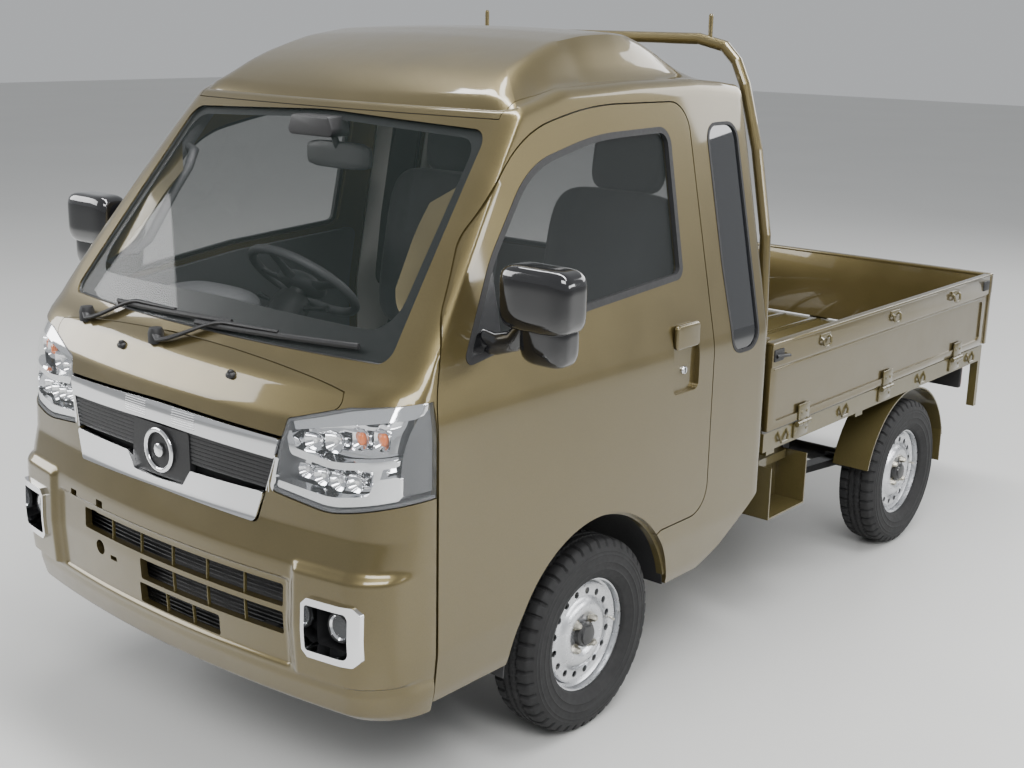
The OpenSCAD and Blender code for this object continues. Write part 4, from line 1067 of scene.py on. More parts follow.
def build_headlights():
    """Headlights: lens, chrome reflectors, housing, amber and clear bulbs."""
    chrome, dark, amber, lens, clear = [], [], [], [], []
    edge = counter_clockwise(LAMP)
    lens.append(carve(lamp_solid(0.5, 3), ahead(edge)))
    chrome.append(carve(lamp_solid(52, 56, (40, 24, 2)), ahead(edge)))
    dark.append(carve(lamp_solid(4, 54), ahead(edge), [ahead(grown(edge, -7))]))

    def band(points, t0, t1, where):
        """Adds the part of the lamp inside an outline, between two depths."""
        where.append(carve(lamp_solid(t0, t1), ahead(rounded(points))))

    band([(446, 962, 5), (600, 996, 200), (716, 1016, 8), (716, 1052, 8), (590, 1026, 200),
          (436, 982, 6)], 8, 40, chrome)
    band([(420, 955, 3), (440, 905, 14), (560, 892, 200), (700, 912, 6), (700, 930, 6),
          (560, 908, 200), (452, 922, 14), (436, 958, 3)], 8, 44, chrome)
    band([(402, 822, 5), (560, 804, 220), (705, 836, 6), (705, 892, 6), (668, 884, 8),
          (652, 846, 14), (560, 826, 220), (404, 838, 5)], 7, 40, chrome)
    band([(700, 846, 3), (HALF_WIDTH + 20, 848, 0), (HALF_WIDTH + 20, 1062, 0), (716, 1052, 3),
          (704, 940, 20)], 12, 20, dark)
    for x, z, rx, rz in ((484, 938, 28, 20), (540, 946, 27, 25), (466, 868, 22, 17),
                         (512, 862, 23, 20), (559, 859, 23, 21), (606, 863, 23, 20)):
        chrome.append(cup(skin_at_front(x, z, 26), (rx, rz), 24))
        clear.append(moved(pillow((-6, -6, -6), (6, 6, 6), 2.2, 8), skin_at_front(x, z, 34)))
    for x, z in ((606, 962), (656, 966)):
        chrome.append(cup(skin_at_front(x, z, 30), (24, 26), 20))
        amber.append(moved(pillow((-11, -9, -15), (11, 9, 15), 2.6, 10), skin_at_front(x, z, 36)))
    piece("lamp_lens", both(merge(*lens)), "lens", "body", "headlights")
    piece("lamp_chrome", both(merge(*chrome)), "chrome", "body")
    piece("lamp_housing", both(merge(*dark)), "grey", "body")
    piece("lamp_amber", both(merge(*amber)), "amber", "body")
    piece("lamp_bulbs", both(merge(*clear)), "white", "body")


def build_fog_lamps():
    """Fog lamps: chamfered bezel, housing, reflector and lens."""
    x, z, rx, rz = FOG
    frame_line = fog_outline()
    hole = rounded([
        (x - rx + 10, z - rz + 17, 8), (x + rx - 32, z - rz + 17, 10), (x + rx - 26, z - rz + 30, 10),
        (x + rx - 26, z + rz - 30, 10), (x + rx - 32, z + rz - 17, 10), (x - rx + 10, z + rz - 17, 8)], 3)
    bezel = carve(fog_solid(-24, 16, 40, (60, 40, 2)), ahead(frame_line), [ahead(hole)])
    rim = piece("fog_bezel", both(bezel), "chrome", "body", "fog_lamps")
    add_bevel(rim, 5.0, 3)
    back = carve(fog_solid(56, 60), ahead(grown(frame_line, -2)))
    wall = carve(fog_solid(6, 58), ahead(grown(frame_line, -3)), [ahead(grown(hole, 1))])
    at = skin_at_front(x - 2, z + 2, 14)
    body = lathe([(0, 26), (36, 26), (38, 4), (34, -2), (31, 2), (0, 14)], at, "y", 48)
    piece("fog_housing", both(merge(back, wall, body)), "plastic", "body")
    lens = lathe([(0, -10), (14, -8.5), (26, -4), (31, 1), (31, 4), (0, 4)], at, "y", 48)
    bowl = cup(at, (30, 30), 16, 2.0)
    piece("fog_reflector", both(bowl), "chrome", "body")
    piece("fog_lens", both(lens), "lens", "body")


def build_glass():
    """Windscreen with its black border and mirror, back and quarter panes and their seals."""
    clip = ahead(grown(SCREEN, -1.5), *SCREEN_REACH)
    piece("screen_glass", carve(screen_solid(3, 8), clip), "screen", "body",
          "windshield")
    border = carve(screen_solid(8.6, 10), clip, [ahead(SCREEN_CLEAR, *SCREEN_CUT)])
    piece("screen_border", border, "frit", "body")
    housing = merge(
        slab(rounded([(-95, 1560, 16), (95, 1560, 16), (70, 1612, 10), (-70, 1612, 10)]), -1162,
             -1098, "y", 6),
        pillow((-120, -1072, 1470), (120, -1046, 1540), 5, 14),
        tube([(0, -1100, 1590), (0, -1078, 1560), (0, -1062, 1520)], 9, 10, up=(1, 0, 0)))
    piece("mirror_and_camera", housing, "plastic", "body")
    pane = slab(grown(BACK_WINDOW, -1), CAB_REAR - 17, CAB_REAR - 12, "y")
    quarter = carve(side_solid(4, 9, 900, 1630, 50, (4, 8, 60, 4)), aside(grown(QUARTER, -1.5), 500))
    piece("quarter_panes", both(quarter), "dark_glass", "body", "cab_windows")
    piece("back_pane", pane, "back_glass", "body")
    seal = carve(side_solid(-1.5, 10, 900, 1640, 50, (4, 8, 60, 4)), aside(grown(QUARTER, 2), 500),
                 [aside(grown(QUARTER, -7), 400, 1000)])
    back_seal = ring_slab(grown(BACK_WINDOW, 10), 22, CAB_REAR - 22, CAB_REAR + 2, "y")
    piece("window_seals", merge(both(seal), back_seal), "rubber", "body")


MIRROR_FOOT_Y = -1212.0
HANDLE = (-470.0, 980.0)


def door_parts():
    """Shapes of the left door: skin, inner trim, seal, glass and handle."""
    y, z = HANDLE
    recess = aside(rectangle(y - 62, z - 100, y + 62, z + 100, 20), HALF_WIDTH - 15, 900)
    skin = carve(side_solid(0, 26, 300, 1690, 120), aside(DOOR), [aside(WINDOW), arch_cut(0, 100),
                                                                 recess])
    trim_line = rounded([
        (-1410, 350, 30), (-1180, 350, 60), (-1050, 560, 200), (-800, 660, 200), (-600, 620, 200),
        (-380, 540, 60), (-380, 1176, 30), (-875, 1150, 300), (-1340, 1092, 30)])
    trim = carve(side_solid(26.5, 44, 330, 1200, 60), aside(trim_line))
    rest = slab(rounded([(-1120, 900, 20), (-600, 880, 20), (-600, 930, 20), (-1120, 950, 20)]),
                HALF_WIDTH - 78, HALF_WIDTH - 40, "x", 10)
    seal = carve(side_solid(-1.5, 12, 1060, 1640, 60), aside(grown(WINDOW, 3)),
                 [aside(grown(WINDOW, -13), 60, 1000)])
    glass_cut = slab(np.array([(MIRROR_FOOT_Y + 4, 900), (0, 900), (0, 1800), (MIRROR_FOOT_Y + 4, 1800)]),
                     50, 950, "x")
    pane = carve(side_solid(9, 13, 1060, 1640, 50), carve(aside(grown(WINDOW, -2)), glass_cut))
    x = HALF_WIDTH - 15
    grip = slab(rectangle(y - 56, z + 24, y + 56, z + 92, 12), x + 3, HALF_WIDTH + 3, "x", 6, 4)
    stem = box((x - 1, y - 40, z + 40), (x + 6, y + 40, z + 80), 2)
    lock = lathe([(0, 8), (10, 7), (12, 4), (12, 0), (0, 0)], (x, y + 4, z - 40), "x", 32)
    slot_line = box((x + 7.5, y + 2.6, z - 47), (x + 8.6, y + 5.4, z - 33), 0.4)
    return {
        "skin": skin, "inner": merge(trim, rest), "seal": seal, "pane": pane,
        "paint": merge(grip, stem), "lock": lock, "slot": slot_line}


def mirror_parts():
    """Shapes of the left mirror: gloss shell, foot, and the reflecting face behind."""
    foot = carve(side_solid(0, 24, 1080, 1400, 30), carve(aside(grown(WINDOW, -3)), slab(
        np.array([(-1500, 900), (MIRROR_FOOT_Y, 900), (MIRROR_FOOT_Y, 1800), (-1500, 1800)]),
        50, 950, "x")))
    arm = tube([(694, -1262, 1150), (730, -1256, 1146), (770, -1246, 1158), (800, -1240, 1190)],
               [30, 26, 26, 30], 16, up=(0, 1, 0), flat=0.8)
    upper = pillow((750, -1294, 1192), (950, -1196, 1340), 5.0, 30)
    lower = pillow((800, -1280, 1116), (938, -1204, 1236), 3.6, 26)
    face = slab(rounded([(772, 1204, 22), (928, 1204, 22), (932, 1324, 26), (768, 1324, 26)]),
                -1199, -1193, "y", 2)
    return merge(foot, arm, upper, lower), face


def build_doors():
    """Both doors with their trim, seals, panes, handles, locks and mirrors."""
    left = door_parts()
    case, face = mirror_parts()
    for side, name in ((1, "left"), (-1, "right")):
        def sided(shape):
            """The shape on this side of the truck."""
            return shape if side > 0 else mirror_x(shape)
        body = name + "_door"
        piece(name + "_door_skin", sided(left["skin"]), "paint", body, body)
        piece(name + "_door_trim", sided(left["inner"]), "grey", body)
        piece(name + "_door_seal", sided(left["seal"]), "rubber", body)
        piece(name + "_door_pane", sided(left["pane"]), "side_glass", body, name + "_door_glass")
        piece(name + "_door_handle", sided(left["paint"]), "paint", body)
        piece(name + "_door_lock", [(sided(left["lock"]), 0), (sided(left["slot"]), 1)],
              ["satin_chrome", "plastic"], body)
        piece(name + "_mirror_shell", sided(case), "gloss_black", body, name + "_mirror")
        piece(name + "_mirror_face", sided(face), "chrome", body)


def build_wipers():
    """Wiper arms and blades, and the washer nozzles on the hood."""
    parts = []
    for x, length in ((-440, 560), (-100, 620)):
        base = skin_at_front(x, 1070, 0) + [0, 6, 4]
        parts.append(lathe([(0, 34), (16, 32), (20, 20), (20, -6), (0, -6)], base, "z", 24))
        reach = np.linspace(0, 1, 16)
        px = x + reach * length * 0.62
        pz = 1078 + 62 * smoothstep(0, 0.55, reach) + 6 * reach
        line = skin_at_front(px, pz, 0)
        line[:, 1] -= 20 - 4 * reach
        line[0] = base + [0, -4, 26]
        parts.append(tube(line, np.linspace(11, 5, 16), 10, flat=0.55))
        bx = x + np.linspace(0.16, 1.0, 26) * length
        bz = 1128 + 16 * np.linspace(0, 1, 26)
        blade = skin_at_front(bx, bz, 0)
        blade[:, 1] -= 9
        parts.append(tube(blade, 5.5, 8, flat=1.4))
        rubber = skin_at_front(bx, bz - 3, -2)
        parts.append(tube(rubber, 2.2, 6))
    for x in (-216, 216):
        at = skin_at_front(x, 1044, -1)
        parts.append(moved(pillow((-13, -10, -7), (13, 12, 9), 2.8, 12), at))
        parts.append(moved(pillow((-6, -8, 4), (6, 8, 15), 2.8, 10), at))
    piece("wiper_arms", merge(*parts), "plastic", "body", "wipers")


# ---------------------------------------------------------------------------
# Inside the cab

DASH_HALF = 594.0
DASH = rounded([
    (-1478, 858, 4), (-1262, 806, 30), (-1196, 838, 26), (-1182, 990, 40), (-1226, 1046, 40),
    (-1330, 1076, 60), (-1478, 1092, 4)])
DRIVER_X = -340.0
SEAT_X = 340.0
BACK_TILT, HEAD_TILT = 79.0, 82.0
CHANNEL_DEPTH, CHANNEL_WIDTH = 7.0, 5.0
WHEEL_AT = np.array([DRIVER_X, -892.0, 1099.0])
WHEEL_LEAN = 40.0
RIM_R = 170.0


def build_interior():
    """Lining, dashboard, visors, grab handle, column and steering wheel."""
    drops = [*pair(aside(grown(DOOR, 10), 420)), *pair(aside(grown(QUARTER, 4), 540)),
             slab(grown(BACK_WINDOW, 4), -200, 100, "y"), ahead(grown(SCREEN, 4), *SCREEN_REACH),
             slab(np.array([(-900, 200), (900, 200), (900, 1110), (-900, 1110)]), -1900, -1400, "y"),
             *pair(arch_cut(8)), skirt_cut()]
    lining = carve(cab_solid(LINING_DEPTH, LINING_DEPTH + 4), None, drops)
    piece("cab_lining", lining, "lining", "body")
    dash = slab(DASH, -DASH_HALF, DASH_HALF, "x", 10, 3)
    cowl = slab(rounded([(-600, -1486, 40), (600, -1486, 40), (560, -1330, 30), (-560, -1330, 30)]),
                1060, 1096, "z", 8)
    hood = pillow((DRIVER_X - 165, -1330, 1030), (DRIVER_X + 165, -1150, 1132), 3.2, 22)
    glove = slab(rectangle(150, 850, 560, 960, 14),
                 -1192, -1176, "y", 5)
    console = slab(rounded([(-120, 800, 20), (125, 800, 20), (125, 1040, 24), (-120, 1040, 24)]),
                   -1210, -1160, "y", 8)
    visors = [slab(rounded([(x, -1075, 14), (x + 330, -1075, 14), (x + 330, -935, 30),
                            (x, -935, 30)]), 1606, 1622, "z", 6) for x in (-470, 140)]
    piece("dash_panel", merge(dash, cowl, hood, glove, console), "grey", "body", "dashboard")
    piece("sun_visors", merge(*visors), "lining", "body")
    dark = [slab(rectangle(-95, 905, 100, 1025, 10),
                 -1162, -1156, "y", 2)]
    for x in (-535, -160, 165, 480):
        for z in np.arange(985, 1030, 9):
            dark.append(box((x, -1190, z), (x + 78, -1172, z + 4), 1.5))
    for x in np.arange(-470, 470, 22):
        dark.append(box((x, -1452, 1095), (x + 13, -1420, 1098.5), 1.2))
        dark.append(box((x, -1414, 1095), (x + 13, -1388, 1098.5), 1.2))
    dials = [lathe([(0, 4), (38, 4), (42, 8), (46, 4), (46, -4), (0, -4)],
                   (DRIVER_X + d, -1160, 1062), "y", 40) for d in (-52, 52)]
    piece("dash_vents", merge(*dark, *dials), "plastic", "body")
    grab = tube([(-597, -1335, 1210), (-560, -1318, 1215), (-535, -1290, 1245), (-512, -1210, 1380),
                 (-512, -1160, 1440), (-540, -1120, 1480), (-572, -1118, 1492)],
                [16, 15, 13, 13, 13, 15, 16], 14, up=(1, 0, 0))
    piece("grab_handle", grab, "grey", "body")
    lean = math.radians(WHEEL_LEAN)
    axis = np.array([0, math.sin(lean), math.cos(lean)])
    shaft = tube([WHEEL_AT - axis * 28, WHEEL_AT - axis * 330], [26, 34], 20, up=(1, 0, 0))
    shroud = tube([WHEEL_AT - axis * 52, WHEEL_AT - axis * 80, WHEEL_AT - axis * 210,
                   WHEEL_AT - axis * 300], [44, 54, 62, 66], 24, up=(1, 0, 0), flat=1.15)
    stalks = []
    for side in (-1, 1):
        root = WHEEL_AT - axis * 92
        stalks.append(tube([root + [side * 30, 0, 0], root + [side * 105, 10, 10],
                            root + [side * 150, 14, 16]], [7, 6.5, 9], 12))
    piece("column_shroud", merge(shaft, shroud, *stalks), "plastic", "body", "steering_column")
    t = np.linspace(0, 2 * np.pi, 96, endpoint=False)
    across = np.array([1.0, 0, 0])
    along = np.cross(axis, across)
    ring = WHEEL_AT + RIM_R * (np.cos(t)[:, None] * across + np.sin(t)[:, None] * along)
    parts = [tube(ring, 13.5, 16, up=axis, closed=True)]
    for a in (-8, 188, 270):
        out = math.cos(math.radians(a)) * across + math.sin(math.radians(a)) * along
        parts.append(tube([WHEEL_AT + out * r - axis * (22 * (1 - r / RIM_R)) for r in
                           (20, 60, 110, RIM_R)], [34, 26, 17, 15], 14, up=axis, flat=0.42))
    hub = turned(pillow(WHEEL_AT - [76, 62, 34], WHEEL_AT + [76, 62, 14], 3.0, 22), (1, 0, 0),
                 -WHEEL_LEAN, WHEEL_AT)
    piece("steering_ring", merge(*parts, hub), "grey", "steering_wheel", "steering_wheel")


def cushion(low, high, power, crown, channels):
    """Padded block: a superellipsoid with its faces crowned and sewn channels pressed in.

    Height is lowered by depth * exp(-(d / width)^2) at each seam line along the face.
    """
    p, f = pillow(low, high, power, 44)
    centre = (np.asarray(low, float) + high) / 2
    half = (np.asarray(high, float) - low) / 2
    q = (p - centre) / half
    lift = crown * (1 - np.clip(q[:, 0] ** 2, 0, 1)) * (1 - np.clip(q[:, 1] ** 2, 0, 1))
    dent = sum(CHANNEL_DEPTH * np.exp(-((p[:, 0] - c) / CHANNEL_WIDTH) ** 2) for c in channels)
    p = p + np.stack([0 * lift, 0 * lift, np.where(q[:, 2] > 0.2, lift - dent, 0)], 1)
    return p, f


def build_seats():
    """Both seats, their bases, headrest posts and the brake lever between them."""
    base, frames = [], []
    for side, name in ((1, "left"), (-1, "right")):
        x = side * SEAT_X
        seat = cushion((x - 228, -895, 702), (x + 228, -400, 850), 5.0, 14, (x - 118, x + 118))
        q, f = seat
        front = smoothstep(-700, -895, q[:, 1])
        q = q - np.stack([0 * front, 0 * front, 18 * front * (q[:, 2] > 770)], 1)
        back = cushion((x - 222, -262, 0), (x + 222, 262, 118), 5.0, 12, (x - 112, x + 112))
        back = turned(back, (1, 0, 0), BACK_TILT, np.array([x, 0, 0]))
        back = moved(back, (0, -250, 1110))
        head = cushion((x - 118, -92, 0), (x + 118, 92, 92), 4.0, 8, ())
        head = turned(head, (1, 0, 0), HEAD_TILT, np.array([x, 0, 0]))
        head = moved(head, (0, -172, 1452))
        for part, shape in (("cushion", (q, f)), ("backrest", back), ("headrest", head)):
            made = piece(name + "_seat_" + part, shape, "cloth", "body",
                         name + "_seat" if part == "cushion" else ())
        for d in (-45, 45):
            frames.append(tube([(x + d, -222, 1340), (x + d, -214, 1400)], 6, 12, up=(1, 0, 0)))
        base.append(box((x - 205, -860, 690), (x + 205, -420, 712), 8))
        base.append(tube([(x - 236, -420, 800), (x - 236, -300, 830), (x - 236, -270, 900)], 20, 12,
                         up=(1, 0, 0), flat=0.6))
    base.append(box((-105, -860, 690), (105, -420, 770), 18))
    brake = tube([(0, -800, 765), (0, -700, 800), (0, -600, 850)], [14, 15, 15], 14, up=(1, 0, 0))
    piece("seat_bases", merge(*base, brake), "plastic", "body")
    piece("headrest_posts", merge(*frames), "satin_chrome", "body")


# ---------------------------------------------------------------------------
# Arches, bed and gates


def arc_shell(centre, r0, r1, x0, x1, start, stop):
    """Curved sheet about an axle, between two radii and two angles."""
    a = np.radians(np.linspace(start, stop, 48))[:, None]
    x = np.linspace(x0, x1, 25)[None] + 0 * a
    return shell(*[np.stack([x, centre[0] + r * np.cos(a) + 0 * x, centre[1] + r * np.sin(a) + 0 * x], -1)
                   for r in (r1, r0)])


def build_arches():
    """Liners and rolled edges of the front wheels' arches."""
    liner = arc_shell((ARCH[0], ARCH[1]), 344, 348, 400, 712, 8, 178)
    inner = slab(rounded([(-1180, 330, 20), (-520, 330, 20), (-560, 560, 120), (-700, 640, 80),
                          (-1000, 640, 80), (-1140, 560, 120)]), 396, 400, "x")
    flange = arc_shell((ARCH[0], ARCH[1]), 341, 350, 700, 721, 14, 166)
    piece("front_arch_liners", both(merge(liner, inner)), "plastic", "body")
    piece("front_arch_flanges", both(flange), "under", "body")


def gate_shape(length_low, length_high):
    """Side gate with a raised upper band and a pressed lower panel, facing +X."""
    x0, x1 = GATE_LOW_X, GATE_HIGH_X
    panel = carve(box((x0 + 3, length_low, GATE_Z0), (x1 - 3, length_high, GATE_Z1 - 3), 3), None, [
        slab(rectangle(length_low + 45, GATE_Z0 + 26, length_high - 45, BAND_Z - 22, 14),
             x1 - 9, x1 + 20, "x")])
    band = slab(rectangle(length_low, BAND_Z, length_high, GATE_Z1 - 2, 5),
                x1 - 8, x1 + 1, "x", 4)
    lip = box((x0, length_low - 0.5, GATE_Z1 - 12), (x1 + 2, length_high + 0.5, GATE_Z1 + 1), 5)
    ridge = box((x1 - 5, length_low + 20, BAND_Z - 10), (x1 - 1, length_high - 20, BAND_Z - 4), 1.8)
    return merge(panel, band, lip, ridge)


GATE_LOW_X, GATE_HIGH_X = 704.0, 731.0
GATE_Z0, GATE_Z1, BAND_Z = 657.0, 935.0, 857.0
GATE_Y0, GATE_Y1 = 8.5, 1659.0
SIDE_HINGES = (230.0, 820.0, 1410.0)
TAIL_HINGES = (-520.0, 0.0, 520.0)
HINGE_Z = 645.0
TAIL_LAMP_WIDTH, TAIL_LAMP_RIM = 190.0, 5.0


def rope_hook(y, z, x):
    """Bent-rod rope hook on a gate's outer face."""
    rod = tube([(x, y - 26, z + 14), (x + 9, y - 26, z + 8), (x + 12, y - 22, z - 10),
                (x + 12, y - 8, z - 16), (x + 12, y + 8, z - 16), (x + 12, y + 22, z - 10),
                (x + 9, y + 26, z + 8), (x, y + 26, z + 14)], 4.2, 10, up=(1, 0, 0.2))
    foot = box((x - 1, y - 34, z + 4), (x + 4, y + 34, z + 24), 2)
    return merge(rod, foot)


def hinge(at):
    """Gate hinge: a strap on the gate and a leaf on the sill share a pin on the gate's axis.

    The leaf lies further in than the strap, so the gate can hang straight down past it.
    """
    x, y, z = at
    knuckle = [lathe([(0, -1), (9, -1), (9, 25), (0, 25)], (x, y + d, z), "y", 20)
               for d in (-40, -12, 16)]
    tongue = box((x - 2, y - 11, z), (x + 2, y + 11, z + 14), 1)
    strap = box((x - 4, y - 34, z + 11), (x + 2, y + 34, z + 62), 1.5)
    leaf = box((x - 12, y - 44, z - 46), (x - 6, y + 44, z - 3), 1.5)
    strap_heads = [bolt((x + 1, y + d, z + 36), "x", 6, 4) for d in (-16, 16)]
    leaf_heads = [bolt((x - 7, y + d, z - 26), "x", 6, 3) for d in (-34, 34)]
    return merge(strap, tongue, knuckle[1], *strap_heads), merge(leaf, knuckle[0], knuckle[2],
                                                                *leaf_heads)


def to_tail(shape):
    """Turns a left-gate shape so that it faces the rear: (x, y) -> (-y, x)."""
    p, f = shape
    return np.stack([-p[:, 1], p[:, 0], p[:, 2]], 1), f


def build_gates():
    """Side gates and tailgate with hinges, hooks and latches."""
    body_parts = []
    side = gate_shape(GATE_Y0, GATE_Y1)
    hooks = merge(*[rope_hook(y, 893, GATE_HIGH_X + 1) for y in (330, 830, 1330)])
    latch = merge(
        box((GATE_HIGH_X - 3, GATE_Y0 + 6, 876), (GATE_HIGH_X + 6, GATE_Y0 + 62, 914), 4),
        tube([(GATE_HIGH_X + 4, GATE_Y0 + 14, 894), (GATE_HIGH_X + 10, GATE_Y0 + 40, 894),
              (GATE_HIGH_X + 9, GATE_Y0 + 86, 888)], [10, 8, 7], 12, flat=0.7),
        box((GATE_HIGH_X - 3, GATE_Y1 - 60, 876), (GATE_HIGH_X + 5, GATE_Y1 - 8, 914), 4))
    gate_hinge, sill_hinge = [], []
    for y in SIDE_HINGES:
        up, down = hinge((GATE_HIGH_X, y, HINGE_Z))
        gate_hinge.append(up)
        sill_hinge.append(down)
    body_parts.append(both(merge(*sill_hinge)))
    for sign, name in ((1, "left_gate"), (-1, "right_gate")):
        def sided(shape):
            """The shape on this side of the truck."""
            return shape if sign > 0 else mirror_x(shape)
        piece(name + "_panel", sided(side), "paint", name, name)
        piece(name + "_hinges", sided(merge(hooks, *gate_hinge)), "under", name)
        piece(name + "_latch", sided(latch), "plastic", name)
    shift = TAIL_HIGH[1] - GATE_HIGH[0]
    half = TAIL_HIGH[0]
    tail = moved(to_tail(gate_shape(-half, half)), (0, shift, 0))
    tail_hinge, tail_low = [], []
    for x in TAIL_HINGES:
        up, down = hinge((GATE_HIGH_X, -x, HINGE_Z))
        tail_hinge.append(moved(to_tail(up), (0, shift, 0)))
        tail_low.append(moved(to_tail(down), (0, shift, 0)))
    body_parts += tail_low
    rope = [moved(to_tail(rope_hook(y, 893, GATE_HIGH_X + 1)), (0, shift, 0)) for y in (-430, 430)]
    piece("tailgate_panel", tail, "paint", "tailgate", "tailgate")
    piece("tailgate_hinges", merge(*tail_hinge, *rope), "under", "tailgate")
    piece("sill_hinges", merge(*body_parts), "under", "body")


def build_bed_details():
    """Floor ribs and rope hooks under the bed."""
    parts = []
    for y in (120, 520, 1120, 1560):
        rod = tube([(717, y - 26, 640), (726, y - 26, 622), (728, y - 18, 606), (728, y + 18, 606),
                    (726, y + 26, 622), (717, y + 26, 640)], 4.2, 10, up=(1, 0, 0.2))
        parts.append(both(rod))
    ribs = [box((x - 14, 40, 648), (x + 14, 1655, 653.5), 2.5) for x in np.arange(-600, 601, 150)]
    piece("bed_floor_ribs", merge(*ribs), "bed", "body")
    piece("bed_rope_hooks", merge(*parts), "under", "body")
    build_tail_lamps()


def build_tail_lamps():
    """Tail lamps in their CAD boxes: a housing with a red, an amber and a clear lens."""
    low, high = box_mm("tail_lights")
    x0, y1 = high[0] - TAIL_LAMP_WIDTH, high[1]
    z0, z1 = low[2] + TAIL_LAMP_RIM, high[2] - TAIL_LAMP_RIM
    cells = [slab(rectangle(left, z0, right, z1, radius), y1 - 16, y1 - back, "y", 4)
             for left, right, radius, back in (
                 (high[0] - 86, high[0] - TAIL_LAMP_RIM, 8, 0), (x0 + 46, high[0] - 89, 6, 1),
                 (x0 + TAIL_LAMP_RIM, x0 + 43, 6, 1))]
    cells.append(box((x0, low[1], low[2]), (high[0], y1 - 14, high[2]), 6))
    piece("tail_lamps", [(both(cell), i) for i, cell in enumerate(cells)],
          ["red", "amber", "white", "plastic"], "body", "tail_lights")


# ---------------------------------------------------------------------------
# Wheels

GROOVE, SHOULDER_GROOVE = 7.5, 7.0
GROOVES_AT = (-22, 0, 22)
NUTS = 4
NUT_RING = 50.0
VENT_R, VENT_RING = 9.5, 116.5


def tyre_shape():
    """Tyre round the X axis: a rounded section with grooves pressed into the tread.

    The radius is lowered by depth * (ring grooves + shoulder grooves + zigzag sipes).
    """
    h = TYRE_HALF
    blocks = bpy.context.scene.truck_look.tread_blocks
    section = resampled(rounded([
        (156, -50, 4), (160, -h + 14, 8), (182, -h + 3, 20), (214, -h, 60), (244, -h + 5, 22),
        (TYRE_R - 4, -h + 16, 12), (TYRE_R, -h + 32, 60), (TYRE_R, h - 32, 60),
        (TYRE_R - 4, h - 16, 12), (244, h - 5, 22), (214, h, 60), (182, h - 3, 20),
        (160, h - 14, 8), (156, 50, 4)]), 132, True)
    n = blocks * 9
    t = np.linspace(0, 2 * np.pi, n, endpoint=False)[None]
    r, d = section[:, :1], section[:, 1:]
    tread = smoothstep(TYRE_R - 26, TYRE_R - 12, r)
    cell = (t * blocks / (2 * np.pi) + 0.12 * np.sign(d)) % 1
    slot = 1 - smoothstep(0.10, 0.17, np.abs(cell - 0.5))
    shoulder = smoothstep(24, 27, np.abs(d)) * slot
    wave = 3.5 * (2 * np.abs((t * blocks / np.pi) % 1 - 0.5) - 0.5)
    rings = sum(1 - smoothstep(2.2, 4.2, np.abs(d - c - wave)) for c in GROOVES_AT)
    bulge = sum(np.exp(-((r - c) / 2.0) ** 2) for c in (186, 206, 226, 236))
    r = r - tread * (GROOVE * np.clip(rings, 0, 1) + SHOULDER_GROOVE * shoulder)
    x = d + np.sign(d) * (1.8 * bulge - 3.0 * shoulder * tread) + 0 * t
    p = np.stack([x, r * np.cos(t), r * np.sin(t)], -1)
    return p.reshape(-1, 3), [grid_faces(len(section), n, True, True)]


def rim_shape():
    """Pressed steel wheel facing +X: barrel, dished disc with a ring of vents, hub and nuts."""
    h = 50
    vents = bpy.context.scene.truck_look.vents
    t = np.linspace(0, 2 * np.pi, vents, endpoint=False) + np.pi / vents
    disc = lathe([(0, 33), (44, 33), (52, 36), (60, 42), (72, 45), (84, 43), (94, 36), (101, 31),
                  (106, 29), (127, 28), (133, 31), (137, 33), (140, 28), (133, 25), (127, 23),
                  (106, 24), (99, 26), (92, 31), (83, 38), (72, 40), (58, 37), (46, 28), (0, 28)],
                 (0, 0, 0), "x", 160)
    turn = np.linspace(0, 2 * np.pi, 20, endpoint=False)
    circle = np.stack([np.cos(turn), np.sin(turn)], 1)
    holes = [slab(VENT_R * circle + [VENT_RING * math.cos(a), VENT_RING * math.sin(a)], 0, 60, "x")
             for a in t]
    disc = carve(disc, None, holes)
    barrel = lathe([(152, h - 4), (160, h - 3), (163, h + 5), (167, h + 6), (167, h + 2),
                    (163, h - 6), (156, h - 9), (155, 30), (141, 22), (141, -30), (155, -36),
                    (156, -h + 4), (166, -h), (167, -h - 4), (160, -h - 4), (151, -h + 2),
                    (150, -34), (135, -28), (135, 20), (150, 28), (151, h - 10)],
                   (0, 0, 0), "x", 120, True)
    return disc, barrel


